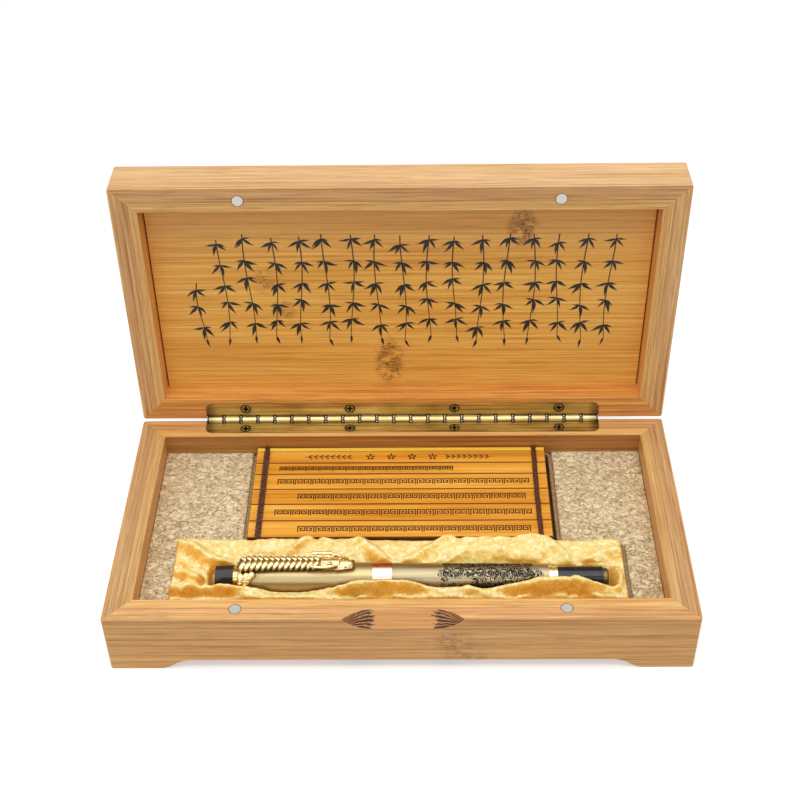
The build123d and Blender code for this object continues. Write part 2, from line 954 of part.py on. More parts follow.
def satin_section(x, front_crest, back_crest):
    """The lining's outline across the pen bay: a front roll, a low middle and a back roll."""
    side = insert_clearance + liner_wall + satin_clearance
    front = -pen_bay_front + side
    back = -slip_bay_front - side
    trough = cap_swell_radius + pen_clearance - satin_trim
    front_inner = pen_y - trough
    back_inner = pen_y + trough
    low = book_floor
    middle = low + satin_floor_rise
    front_side = front_crest - satin_front_crown
    back_side = back_crest - satin_back_crown
    edges = [
        Line((front, low), (front, front_side)),
        ThreePointArc(
            (front, front_side),
            ((front + front_inner) / 2, front_crest),
            (front_inner, front_side),
        ),
        Line((front_inner, front_side), (front_inner, middle)),
        Line((front_inner, middle), (back_inner, middle)),
        Line((back_inner, middle), (back_inner, back_side)),
        ThreePointArc(
            (back_inner, back_side),
            ((back_inner + back) / 2, back_crest),
            (back, back_side),
        ),
        Line((back, back_side), (back, low)),
        Line((back, low), (front, low)),
    ]
    return Plane(origin=(x, 0, 0), x_dir=(0, 1, 0), z_dir=(1, 0, 0)) * make_face(edges)


def satin_lining():
    """The padded satin that the pen lies in, flared at its ends so that the pen comes up and apart."""
    end = pen_bay_half - insert_clearance - liner_wall - satin_end_gap
    scale = end / satin_folds[-1][0]
    sections = [satin_section(x * scale, front, back) for x, front, back in satin_folds]
    body = loft(sections, ruled=True)
    radius = cap_swell_radius + pen_clearance
    start_x = pen_start - pen_clearance
    end_x = pen_end + pen_clearance
    rise = 2 * base_height
    widest_pull = max(cap_pull_travel, barrel_pull_travel)
    slope = math.atan2(pen_lift_travel, widest_pull) - math.radians(satin_slope_margin)
    run = rise / math.tan(slope)
    low = pen_axis_height - radius + satin_trim
    corners = (
        (start_x, low),
        (end_x, low),
        (end_x + run, low + rise),
        (start_x - run, low + rise),
    )
    flare = Plane.XZ * make_face(Polyline(*corners, close=True))
    body -= Pos(0, pen_y, 0) * extrude(flare, radius, both=True)
    return body - rod((start_x, end_x), radius)


def all_nodes():
    """Every node by name, about the middle of the base's plan."""
    nodes = {}
    nodes.update(base_walls())
    nodes["base_floor"] = base_floor()
    for name, rail in lid_rails().items():
        nodes[name] = opened(rail)
    nodes["lid_panel"] = opened(lid_panel())
    nodes["hinge_leaf_base"] = hinge_leaf(0)
    nodes["hinge_leaf_lid"] = opened(mirrored_to_lid(hinge_leaf(1)))
    nodes["hinge_pin"] = along_pin(pin_radius, (-hinge_length / 2, hinge_length / 2))
    nodes["hinge_screws_base"] = Compound([screw(place) for place in screw_places()])
    lid_screws = [opened(mirrored_to_lid(screw(place))) for place in screw_places()]
    nodes["hinge_screws_lid"] = Compound(lid_screws)
    base_magnet_top = base_height - flush_drop
    nodes["magnets_base"] = Compound(magnets(base_magnet_top - magnet_thickness, base_magnet_top))
    lid_magnet_low = lid_rim + flush_drop
    lid_magnets = magnets(lid_magnet_low, lid_magnet_low + magnet_thickness)
    nodes["magnets_lid"] = Compound([opened(magnet) for magnet in lid_magnets])
    nodes["insert_support"] = insert_support()
    nodes["insert_deck"] = insert_deck()
    nodes["recess_liner"] = recess_liner()
    nodes["satin_lining"] = satin_lining()
    nodes.update(top_slips())
    nodes["slip_back_edge"] = back_edge_slip()
    nodes["slip_front_edge"] = front_edge_slip()
    nodes["slips_second_row"] = Compound(lower_row(second_row))
    nodes["slips_third_row"] = Compound(lower_row(third_row))
    nodes["slips_bottom_row"] = Compound(lower_row(bottom_row))
    for side in ("left", "right"):
        nodes[f"cover_cord_{side}"] = cover_cord(side)
        nodes[f"core_cord_{side}"] = core_cord(side)
    nodes["cap_finial"] = cap_finial()
    nodes["cap_crown"] = cap_crown()
    nodes["cap_neck"] = cap_neck()
    nodes["cap_shell"] = cap_shell()
    nodes["cap_band"] = cap_band()
    nodes["inner_cap"] = inner_cap()
    nodes["clip"] = clip()
    nodes["clip_stones"] = stone_balls(stone_seat_gap)
    nodes["barrel_shell"] = barrel_shell()
    nodes["barrel_rings"] = barrel_rings()
    nodes["barrel_tail"] = barrel_tail()
    nodes["tail_stud"] = tail_stud()
    nodes["grip_section"] = grip_section()
    nodes["nib"] = nib()
    nodes["feed"] = feed()
    nodes["converter_tube"] = converter_tube()
    nodes["converter_collar"] = converter_collar()
    nodes["converter_knob"] = converter_knob()
    nodes["converter_piston"] = converter_piston()
    return nodes


def main():
    """Write every node, moved so that the origin is under the middle of the open box."""
    nodes = all_nodes()
    box = Compound(list(nodes.values())).bounding_box()
    shift = -(box.min.Y + box.max.Y) / 2
    os.makedirs("parts", exist_ok=True)
    for name, shape in nodes.items():
        export_step(Pos(0, shift, 0) * shape, f"parts/{name}.step")
    print(f"shift y {shift:.4f}")
    print(f"lid hinge at y {pin_y + shift:.4f} z {pin_z:.4f}")
    print(f"book hinge at y {top_front - front_cord + shift:.4f} z {top_row + slip_thickness / 2:.4f}")
    print(f"pen axis at y {pen_y + shift:.4f} z {pen_axis_height:.4f}")
    print(f"clip root at x {cap_x - clip_root_gap:.4f} z {pen_axis_height + clip_root_height:.4f}")
    print(f"box {box.min} {box.max}")


main()
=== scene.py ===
import json
import math
import random

import bpy
import numpy
from mathutils import Matrix, Vector, noise
from mathutils.bvhtree import BVHTree


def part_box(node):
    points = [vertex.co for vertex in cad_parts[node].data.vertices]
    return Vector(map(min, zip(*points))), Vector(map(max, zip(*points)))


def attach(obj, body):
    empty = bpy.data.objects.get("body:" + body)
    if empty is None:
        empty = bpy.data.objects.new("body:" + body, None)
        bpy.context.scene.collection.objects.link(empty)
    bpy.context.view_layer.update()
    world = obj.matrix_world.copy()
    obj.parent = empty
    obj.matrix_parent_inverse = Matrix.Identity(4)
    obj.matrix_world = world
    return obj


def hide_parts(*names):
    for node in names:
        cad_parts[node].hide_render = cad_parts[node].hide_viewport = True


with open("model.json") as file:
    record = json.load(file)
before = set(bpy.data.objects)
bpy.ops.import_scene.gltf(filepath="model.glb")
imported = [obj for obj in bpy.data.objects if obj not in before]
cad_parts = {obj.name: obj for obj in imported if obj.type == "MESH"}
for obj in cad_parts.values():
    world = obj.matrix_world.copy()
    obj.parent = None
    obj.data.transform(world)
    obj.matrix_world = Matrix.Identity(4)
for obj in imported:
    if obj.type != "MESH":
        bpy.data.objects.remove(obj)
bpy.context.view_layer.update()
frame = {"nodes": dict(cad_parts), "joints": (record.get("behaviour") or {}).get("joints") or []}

mm = 0.001
nodes = frame["nodes"]
joints = {joint["name"]: joint for joint in frame["joints"]}

# Places taken from the frame
hinge_place = Vector(joints["lid_hinge"]["pos_m"])
open_angle = math.radians(-joints["lid_hinge"]["range_deg"][0])
closing_turn = Matrix.Rotation(open_angle, 3, "X")
pen_axis = Vector(joints["knob_turn"]["pos_m"])
wall_low, wall_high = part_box("base_front_wall")
back_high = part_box("base_back_wall")[1]
leaf_low, leaf_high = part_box("hinge_leaf_base")
barrel_low, barrel_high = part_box("barrel_shell")
half_length = wall_high.x
half_depth = (back_high.y - wall_low.y) / 2
middle_y = (back_high.y + wall_low.y) / 2
rim_z = back_high.z


def srgb(r, g, b):
    """A linear colour from screen values of 0 to 255."""
    def linear(value):
        value /= 255
        return value / 12.92 if value <= 0.04045 else ((value + 0.055) / 1.055) ** 2.4
    return (linear(r), linear(g), linear(b), 1.0)


def shade(colour):
    """Three screen values as a linear colour, and anything else as it is."""
    return srgb(*colour) if isinstance(colour, tuple) and len(colour) == 3 else colour


def scaled(colour, factor, add=0.0):
    """A linear colour made darker or lighter."""
    return tuple(min(1, c * factor + add) for c in colour[:3]) + (1,)


def add_object(name, data, matrix=Matrix.Identity(4)):
    """A new object in the scene."""
    made = bpy.data.objects.new(name, data)
    made.matrix_world = matrix
    bpy.context.scene.collection.objects.link(made)
    return made


# Camera

camera_place = Vector((6.43, -391.98, 406.83)) * mm
camera_pitch = math.radians(41.422)
camera_yaw = math.radians(-0.976)
camera_roll = math.radians(-0.922)
focal_pixels = 1385.21
frame_pixels = 800
optical_axis_row = 428.52
sensor_width = 36.0


def add_camera():
    """The photograph's viewpoint: above the front of the box, looking down into it."""
    forward = Vector((
        math.sin(camera_yaw) * math.cos(camera_pitch),
        math.cos(camera_yaw) * math.cos(camera_pitch),
        -math.sin(camera_pitch),
    ))
    level = Vector((math.cos(camera_yaw), -math.sin(camera_yaw), 0))
    upward = level.cross(forward)
    right = level * math.cos(camera_roll) + upward * math.sin(camera_roll)
    up = upward * math.cos(camera_roll) - level * math.sin(camera_roll)
    data = bpy.data.cameras.new("photo_camera")
    data.sensor_width = sensor_width
    data.lens = focal_pixels / frame_pixels * sensor_width
    data.shift_y = (optical_axis_row - frame_pixels / 2) / frame_pixels
    data.clip_start = 0.01
    turn = Matrix((right, up, -forward)).transposed().to_4x4()
    matrix = Matrix.Translation(camera_place) @ turn
    bpy.context.scene.camera = add_object("photo_camera", data, matrix)


# Material graph helpers


class Value:
    """A number or vector in a graph, which takes plain arithmetic."""

    def __init__(self, graph, socket):
        self.graph = graph
        self.socket = socket

    def __add__(self, other):
        return self.graph.math("ADD", self, other)

    def __sub__(self, other):
        return self.graph.math("SUBTRACT", self, other)

    def __rsub__(self, other):
        return self.graph.math("SUBTRACT", other, self)

    def __mul__(self, other):
        return self.graph.math("MULTIPLY", self, other)

    def __truediv__(self, other):
        return self.graph.math("DIVIDE", self, other)

    def __abs__(self):
        return self.graph.math("ABSOLUTE", self)


class Graph:
    """The nodes of a material or world, added in the order in which they feed each other."""

    def __init__(self, name, world=False):
        self.owner = (bpy.data.worlds if world else bpy.data.materials).new(name)
        self.owner.use_nodes = True
        self.tree = self.owner.node_tree
        self.shader = self.tree.nodes["Background" if world else "Principled BSDF"]

    def put(self, socket, value):
        """Join a socket to a value of the graph, or set a plain one."""
        if isinstance(value, Value):
            self.tree.links.new(value.socket, socket)
        else:
            socket.default_value = value

    def node(self, kind, output=0, inputs=(), **settings):
        """An output of a new node, from its inputs by index or name."""
        made = self.tree.nodes.new("ShaderNode" + kind)
        for key, value in settings.items():
            setattr(made, key, value)
        for key, value in dict(inputs).items():
            self.put(made.inputs[key], value)
        return Value(self, made.outputs[output])

    def place(self):
        """The point on the piece at rest, in metres."""
        return self.node("TexCoord", "Object")

    def mapped(self, vector, scale=(1, 1, 1), turn=(0, 0, 0), move=(0, 0, 0)):
        inputs = {"Vector": vector, "Scale": scale, "Rotation": turn, "Location": move}
        return self.node("Mapping", 0, inputs)

    def noise(self, vector, scale=1.0, detail=3.0, rough=0.5, bend=0.0):
        """Noise at a scale, or at one for each axis."""
        if isinstance(scale, tuple):
            vector, scale = self.mapped(vector, scale), 1.0
        inputs = {"Vector": vector, "Scale": scale, "Detail": detail, "Roughness": rough, "Distortion": bend}
        return self.node("TexNoise", 0, inputs)

    def math(self, operation, *inputs, clamp=False):
        return self.node("Math", 0, enumerate(inputs), operation=operation, use_clamp=clamp)

    def vector_math(self, operation, *inputs):
        output = "Value" if operation == "LENGTH" else "Vector"
        return self.node("VectorMath", output, enumerate(inputs), operation=operation)

    def vector(self, *parts):
        return self.node("CombineXYZ", 0, enumerate(parts))

    def split(self, vector):
        """The three numbers of a vector."""
        outputs = self.node("SeparateXYZ", 0, {0: vector}).socket.node.outputs
        return [Value(self, output) for output in outputs]

    def radius(self, a, b):
        """The length of a plane vector."""
        return self.math("SQRT", self.math("POWER", a, 2) + self.math("POWER", b, 2))

    def span(self, value, low, high, to_low=0.0, to_high=1.0):
        """A value carried from one range to another, and held at its ends."""
        inputs = {"Value": value, "From Min": low, "From Max": high, "To Min": to_low, "To Max": to_high}
        return self.node("MapRange", 0, inputs, interpolation_type="SMOOTHSTEP")

    def ramp(self, value, *stops):
        """A colour for a value, from (place, colour) stops."""
        made = self.node("ValToRGB", 0, {0: value})
        points = made.socket.node.color_ramp.elements
        while len(points) < len(stops):
            points.new(0.5)
        for point, (place, colour) in zip(points, stops):
            point.position = place
            point.color = shade(colour)
        return made

    def mix(self, share, a, b):
        """One colour changing to another as the share rises."""
        return self.node("Mix", 2, {0: share, 6: shade(a), 7: shade(b)}, data_type="RGBA")

    def bump(self, height, depth, strength=1.0, after=None):
        """A normal from a height of 0 to 1, where 1 stands depth metres proud."""
        inputs = {"Height": height, "Distance": depth, "Strength": strength}
        if after is not None:
            inputs["Normal"] = after
        return self.node("Bump", 0, inputs)

    def seen(self):
        """1 for rays that come from the camera, or through or off an object, and else 0."""
        rays = [self.node("LightPath", f"Is {kind} Ray") for kind in ("Camera", "Glossy", "Transmission")]
        return self.math("MAXIMUM", self.math("MAXIMUM", rays[0], rays[1]), rays[2])

    def finish(self, **sockets):
        """Set the shader's sockets by name, with an underscore for a space."""
        for key, value in sockets.items():
            self.put(self.shader.inputs[key.replace("_", " ")], value)
        return self.owner


def apply(material, *names):
    """Give CAD nodes a material."""
    for name in names:
        materials = nodes[name].data.materials
        materials.clear()
        materials.append(material)


# Wood

rim_outer_band = 5.9 * mm
wall_thickness = 10.2 * mm
glue_line = 0.12 * mm
arris_line = 0.95 * mm
panel_recess = 8.85 * mm
# Layers of grain, from broad to fine: scale along and across the fibres, detail and roughness
wall_grain = ((7, 230, 3, 0.6), (14, 1300, 5, 0.7), (60, 5200, 2, 0.6))
panel_grain = ((5, 75, 3, 0.6), (11, 900, 5, 0.7), (40, 4200, 2, 0.6))
slip_grain = ((8, 170, 3, 0.6), (18, 1700, 4, 0.7))
ramp_stops = (0.38, 0.46, 0.53, 0.62)
rim_shades = (
    ((184, 122, 74), (210, 156, 98), (222, 170, 110), (238, 194, 134)),
    ((204, 142, 76), (224, 172, 102), (234, 184, 113), (244, 200, 134)),
)
# A darker, more orange copy of the rim's shades, as painted shade, for the lid's rail by the hinge
shaded_rim_shades = (
    ((182, 108, 48), (212, 140, 70), (224, 156, 82), (236, 178, 104)),
    ((200, 126, 54), (224, 154, 74), (234, 166, 84), (244, 186, 108)),
)
pale_shades = ((182, 124, 66), (205, 150, 84), (215, 161, 94), (227, 178, 112))
lid_pale_shades = ((198, 142, 88), (222, 172, 113), (233, 186, 128), (244, 204, 150))
inside_shades = ((172, 104, 44), (206, 136, 62), (218, 150, 74), (232, 172, 96))
lid_inside_shades = ((188, 116, 50), (224, 154, 72), (236, 168, 84), (246, 188, 106))
panel_shades = ((210, 142, 58), (236, 172, 78), (246, 187, 90), (254, 208, 116))
slip_shades = ((202, 126, 28), (224, 150, 42), (236, 166, 56), (248, 190, 82))
light_slip_shades = ((232, 176, 50), (248, 200, 68), (255, 212, 82), (255, 224, 108))

# Joint scars on the front wall and on the lid's panel: place, half size and strength, the panel's
# places by the distance from the back
front_marks = (((20, 13.5), (10, 4, 12), 0.5), ((27, 7.5), (6, 4, 6), 0.45))
panel_marks = (
    ((-5.0, 23.0), (7.5, 14.5, 6), 1.1), ((47.0, 86.0), (7.5, 11.0, 6), 1.0),
    ((-53.5, 62.0), (5.5, 8.0, 6), 0.55), ((-46.5, 49.0), (6.0, 7.5, 6), 0.6),
)

# The scoop's two fans of dark fibres: the tip, the far end, and the way from one to the other
scoop_fans = ((-21.4, -9.4, 1), (23.4, 11.8, -1))
scoop_tip_drop = 1.9 * mm
fan_origin = 4.5 * mm


def closed_place(g, on_lid):
    """The point on a piece with the lid closed, so that both halves share one pattern."""
    if not on_lid:
        return g.place()
    return g.mapped(g.place(), turn=(open_angle, 0, 0), move=hinge_place - closing_turn @ hinge_place)


def edge_distance(g, place):
    """How far a point lies in from the outside of the box's plan."""
    x, y, _ = g.split(place)
    return g.math("MINIMUM", half_length - abs(x), half_depth - abs(y - middle_y))


def grain_layers(g, place, grain, first_seed, layers):
    """Noises drawn out along the grain."""
    made = []
    for seed, (along, across, detail, rough) in enumerate(layers, first_seed):
        stretch = (along, across, across) if grain == "x" else (across, along, across)
        shifted = g.mapped(place, scale=stretch, move=(seed * 7.3, seed * 3.1, seed * 5.7))
        made.append(g.noise(shifted, detail=detail, rough=rough, bend=0.15))
    return made


def node_mark(g, place, base, centre, size, dark, amount, speck):
    """The speckled scar that a bamboo joint leaves: short level dashes in a soft stain."""
    specks = g.noise(g.mapped(place, (0.55, 1.5, 1.5)), speck, 3, 0.7)
    ragged = g.noise(g.mapped(place, (1, 1.4, 1.4)), speck * 0.22, 2)
    offset = g.mapped(g.vector_math("SUBTRACT", place, centre), [1 / (s * mm) for s in size])
    mask = g.span(g.vector_math("LENGTH", offset), 1.0, 0.35) * g.span(ragged, 0.36, 0.56)
    hard = mask * g.span(specks, 0.5, 0.6)
    share = g.math("ADD", hard * amount, mask * (amount * 0.4), clamp=True)
    return g.mix(share, base, dark)


def wood_finish(g, colour, fibres, fine):
    """Satin lacquer over fine fibres."""
    return g.finish(
        Base_Color=colour,
        Roughness=g.span(fibres, 0.2, 0.8, 0.36, 0.5),
        Normal=g.bump(fibres * 0.5 + fine * 0.5, 0.06 * mm, 0.35),
        Coat_Weight=0.06,
        Coat_Roughness=0.3,
        Specular_IOR_Level=0.35,
    )


def wood_ramp(g, tone, shades, gain=1.0):
    """Four wood shades over a tone, from its dark streaks to its light ones."""
    colours = [srgb(*(min(255, value * gain) for value in screen)) for screen in shades]
    return g.ramp(tone, *zip(ramp_stops, colours))


def wall_wood(name, grain, seed, on_lid=False, marks=(), scoop=False, warm=False, rim_gain=1.0, inside_shade_gain=1.0):
    """Laminated bamboo of a wall: pale faces, a darker outer band on the rim, and a warm inside. Where asked, painted
    shade darkens the inside, and gives the rim darker, more orange shades.
    """
    g = Graph(name)
    place = closed_place(g, on_lid)
    inward = edge_distance(g, place)
    broad, fibres, fine = grain_layers(g, place, grain, seed, wall_grain)
    tone = fibres * 0.78 + broad * 0.22
    outer, inner = (wood_ramp(g, tone, shades, rim_gain) for shades in (shaded_rim_shades if warm else rim_shades))
    pale = wood_ramp(g, tone, lid_pale_shades if on_lid else pale_shades)
    inside = wood_ramp(g, tone, lid_inside_shades if on_lid else inside_shades, inside_shade_gain)
    colour = g.mix(g.span(inward, 0.15 * mm, 0.7 * mm), pale, outer)
    colour = g.mix(g.span(inward, rim_outer_band - glue_line, rim_outer_band + glue_line), colour, inner)
    colour = g.mix(g.span(inward, wall_thickness - 0.5 * mm, wall_thickness - 0.1 * mm), colour, inside)
    colour = g.mix(g.span(abs(inward - rim_outer_band), glue_line * 1.6, 0, 0, 0.6), colour, (140, 86, 42))
    colour = g.mix(g.span(fine, 0.37, 0.46, 0.5, 0), colour, (136, 84, 40))
    from_arris = abs(abs(g.split(place)[2] - rim_z) - arris_line)
    arris = g.span(from_arris, 0.45 * mm, 0.1 * mm) * g.span(inward, 0.12 * mm, 0.04 * mm)
    colour = g.mix(arris * 0.5, colour, (140, 88, 42))
    for (x, z), size, amount in marks:
        centre = Vector((x * mm, wall_low.y, z * mm))
        colour = node_mark(g, place, colour, centre, size, (110, 62, 30), amount, 900)
    if scoop:
        colour = scoop_marks(g, place, colour)
    return wood_finish(g, colour, fibres, fine)


def scoop_marks(g, place, base):
    """The dark fibres of a bamboo joint, fanning out from the scoop's two ends."""
    x, y, z = g.split(place)
    on_cut = g.span(y, wall_low.y + 0.05 * mm, wall_low.y + 0.25 * mm)
    on_cut = on_cut * g.span(z, rim_z - 0.05 * mm, rim_z - 0.2 * mm)
    colour = g.mix(on_cut, base, g.mix(0.5, base, (208, 144, 72)))
    across = z - (rim_z - scoop_tip_drop)
    for tip, end, way in scoop_fans:
        along = (x - tip * mm) * way
        angle = g.math("ARCTAN2", across, along + fan_origin)
        fan = g.noise(g.vector(angle * 17.0, along * 240.0, tip), detail=2, rough=0.5, bend=0.6)
        strokes = g.math("PINGPONG", angle * 15.5 + fan * 1.1, 0.5)
        length = abs(end - tip) * mm
        ragged = along + (fan - 0.5) * (7 * mm)
        reach = g.span(along, -0.3 * mm, 1.2 * mm) * g.span(ragged, length, length - 1.6 * mm) * on_cut
        colour = g.mix(reach * 0.55, colour, (150, 82, 36))
        colour = g.mix(reach * g.span(strokes, 0.19, 0.27) * 0.95, colour, (28, 8, 3))
    return colour


def panel_wood(name, on_lid):
    """A broad board, as inside the lid: fine level grain, and there a few joint scars and a painted shade that turns it
    greyer towards its top.
    """
    g = Graph(name)
    place = closed_place(g, on_lid)
    broad, fibres, fine = grain_layers(g, place, "x", 33, panel_grain)
    colour = wood_ramp(g, fibres * 0.74 + broad * 0.26, panel_shades)
    if on_lid:
        # Painted shade: the open lid's panel turns greyer towards its top, under the front rail.
        up = back_high.y - g.split(place)[1]
        colour = g.mix(g.span(up, 66 * mm, 96 * mm, 0, 0.7), colour, g.mix(0.5, colour, (226, 176, 122)))
    colour = g.mix(g.span(fine, 0.34, 0.45, 0.45, 0), colour, (160, 98, 42))
    for (x, forward), size, amount in panel_marks if on_lid else ():
        centre = Vector((x * mm, back_high.y - forward * mm, rim_z + panel_recess))
        colour = node_mark(g, place, colour, centre, size, (112, 64, 28), amount, 1300)
    return wood_finish(g, colour, fibres, fine)


def dress_wood():
    for side, grain, seed, settings in (
        ("front", "x", 1, {"marks": front_marks, "scoop": True, "rim_gain": 1.04}),
        # The back wall's inside is darkened as painted shadow.
        ("back", "x", 5, {"inside_shade_gain": 0.84}),
        ("left", "y", 9, {"rim_gain": 0.91}),
        ("right", "y", 13, {"rim_gain": 0.92}),
    ):
        apply(wall_wood(f"bamboo_{side}", grain, seed, **settings), f"base_{side}_wall")
        # The lid's back rail, by the hinge, takes the rim's shades darkened and made more orange as painted shade.
        rail = wall_wood(f"bamboo_lid_{side}", grain, seed + 16, True, warm=side == "back")
        apply(rail, f"lid_{side}_rail")
    apply(panel_wood("bamboo_panel", True), "lid_panel")
    apply(panel_wood("bamboo_floor", False), "base_floor")


# Mesh helpers

stroke_sink = 0.02 * mm


class Shape:
    """Vertices and faces gathered from many small parts."""

    def __init__(self):
        self.vertices = []
        self.faces = []

    def add(self, vertices, faces):
        start = len(self.vertices)
        self.vertices.extend(vertices)
        self.faces.extend(tuple(start + i for i in face) for face in faces)

    def rings(self, rings):
        """A skin over rings of equally many points, with flat ends."""
        count = len(rings[0])
        faces = []
        for row in range(len(rings) - 1):
            a, b = row * count, (row + 1) * count
            for i in range(count):
                j = (i + 1) % count
                faces.append((a + i, a + j, b + j, b + i))
        faces.append(tuple(reversed(range(count))))
        faces.append(tuple(range((len(rings) - 1) * count, len(rings) * count)))
        self.add([tuple(p) for ring in rings for p in ring], faces)

    def tube(self, points, radii, sides=8, squash=1.0):
        """A tube along points, each with its own radius, flattened where squash is less than 1."""
        rings = []
        side = None
        for i, point in enumerate(points):
            before, after = points[max(i - 1, 0)], points[min(i + 1, len(points) - 1)]
            along = (after - before).normalized()
            if side is None:
                hint = Vector((0, 0, 1)) if abs(along.z) < 0.9 else Vector((0, 1, 0))
                side = hint.cross(along).normalized()
            side = (side - along * side.dot(along)).normalized()
            up = along.cross(side)
            ring = []
            for angle in round_angles(sides):
                offset = side * math.cos(angle) + up * math.sin(angle) * squash
                ring.append(point + offset * radii[i])
            rings.append(ring)
        self.rings(rings)

    def stroke(self, points, widths, surface, height):
        """A flat ribbon along plane points, laid on a surface given by a function of u, v and height."""
        rings = []
        for i, (u, v) in enumerate(points):
            u0, v0 = points[max(i - 1, 0)]
            u1, v1 = points[min(i + 1, len(points) - 1)]
            length = math.hypot(u1 - u0, v1 - v0) or 1.0
            half = widths[i] / 2
            du, dv = -(v1 - v0) / length * half, (u1 - u0) / length * half
            left, right = (u + du, v + dv), (u - du, v - dv)
            places = ((left, -stroke_sink), (right, -stroke_sink), (right, height), (left, height))
            rings.append([surface(*place, up) for place, up in places])
        self.rings(rings)

    def piece(self, name, body, material, slot, smooth=True, replaces=()):
        """The gathered mesh, in the frame's metres, riding on a body."""
        mesh = bpy.data.meshes.new(name)
        mesh.from_pydata(self.vertices, [], self.faces)
        mesh.update()
        for face in mesh.polygons:
            face.use_smooth = smooth
        mesh.materials.append(material)
        piece = add_object(name, mesh)
        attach(piece, body)
        if replaces:
            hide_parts(*replaces)
        return piece


def round_angles(count):
    return [2 * math.pi * n / count for n in range(count)]


def even_steps(count):
    """Shares from 0 to 1."""
    return [n / count for n in range(count + 1)]


def surface_tree(name):
    """A CAD node's surface, for casting rays at."""
    return BVHTree.FromObject(nodes[name], bpy.context.evaluated_depsgraph_get())


def round_pen(x, angle, out):
    """A place round the pen's axis, by its angle from the top towards the front."""
    return Vector((x, pen_axis.y - math.sin(angle) * out, pen_axis.z + math.cos(angle) * out))


# Hardware and insert

knuckle_pitch = (leaf_high.x - leaf_low.x) / 23
screw_spacings = (21.7 * mm, 65.0 * mm)


def metal(name, colour, rough):
    """Plated or solid metal."""
    g = Graph(name)
    cloud = g.noise(g.place(), 160)
    return g.finish(Base_Color=srgb(*colour), Metallic=1.0, Roughness=g.span(cloud, 0.3, 0.7, rough, rough + 0.06))


def hinge_brass():
    """Antique brass: streaked olive leaves, and knuckles rubbed bright, with painted shade at the knuckles' ends, along
    their roots and towards the leaves' ends.
    """
    g = Graph("antique_brass")
    place = g.place()
    lines = g.noise(place, (14, 1500, 1500), 5, 0.75)
    stain = g.noise(place, (30, 90, 90), 3, 0.6)
    tone = lines * 0.6 + stain * 0.4
    leaf = g.ramp(
        tone, (0.36, (106, 84, 46)), (0.46, (166, 138, 82)), (0.55, (204, 178, 118)), (0.66, (242, 226, 174)),
    )
    knuckle = g.ramp(tone, (0.4, (176, 150, 96)), (0.6, (232, 214, 162)))
    x = g.split(place)[0]
    _, y, z = g.split(g.vector_math("SUBTRACT", place, hinge_place))
    from_pin = g.radius(y, z)
    rubbed = g.span(from_pin, 1.95 * mm, 1.68 * mm)
    from_end = g.math("PINGPONG", (x - leaf_low.x) / knuckle_pitch, 0.5)
    # Painted shade in the gaps between the knuckles, at their ends.
    knuckle_gap_shade = g.span(from_end, 0.13, 0.09) * g.span(from_pin, 2.6 * mm, 2.2 * mm)
    # Painted shade along the knuckles' roots, where they meet the leaves.
    root = g.span(from_pin, 1.62 * mm, 1.8 * mm) * g.span(from_pin, 2.9 * mm, 2.1 * mm)
    colour = g.mix(rubbed, leaf, knuckle)
    colour = g.mix(root * 0.75, colour, (52, 38, 18))
    colour = g.mix(knuckle_gap_shade * 0.92, colour, (34, 24, 14))
    # Painted shade towards the leaves' ends.
    colour = g.mix(g.span(leaf_high.x - abs(x), 5 * mm, 0.5 * mm, 0, 0.55), colour, (52, 42, 26))
    rough = g.span(lines, 0.3, 0.7, 0.3, 0.46) + rubbed * -0.04
    return g.finish(Base_Color=colour, Metallic=1.0, Roughness=rough, Normal=g.bump(lines, 0.02 * mm, 0.4))


def screw_brass(half, axis):
    """Worn screw heads in one half's leaf: a dark rim, a lighter face and a dark cross. The axis lies
    across the leaf."""
    g = Graph(f"screw_brass_{half}")
    place = g.place()
    low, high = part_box(f"hinge_screws_{half}")
    parts = g.split(place)
    out = abs(parts[0])
    along = g.math("MINIMUM", *(abs(out - spacing) for spacing in screw_spacings))
    across = abs(parts[axis] - ((low + high) / 2)[axis])
    radius = g.radius(along, across)
    wear = g.noise(place, 1800, 3, 0.7)
    face = g.ramp(wear, (0.38, (110, 92, 58)), (0.54, (170, 150, 104)), (0.66, (226, 210, 166)))
    colour = g.mix(g.span(radius, 1.6 * mm, 1.85 * mm), face, (26, 20, 14))
    arm = g.math("MINIMUM", along, across)
    cross = g.span(arm, 0.42 * mm, 0.3 * mm) * g.span(radius, 1.45 * mm, 1.2 * mm)
    return g.finish(Base_Color=g.mix(cross, colour, (18, 14, 10)), Metallic=1.0, Roughness=0.38)


def ridge(g, value, sharpness):
    """Thin raised lines where noise passes through its middle."""
    return g.math("SUBTRACT", 1.0, abs(value - 0.5) * sharpness, clamp=True)


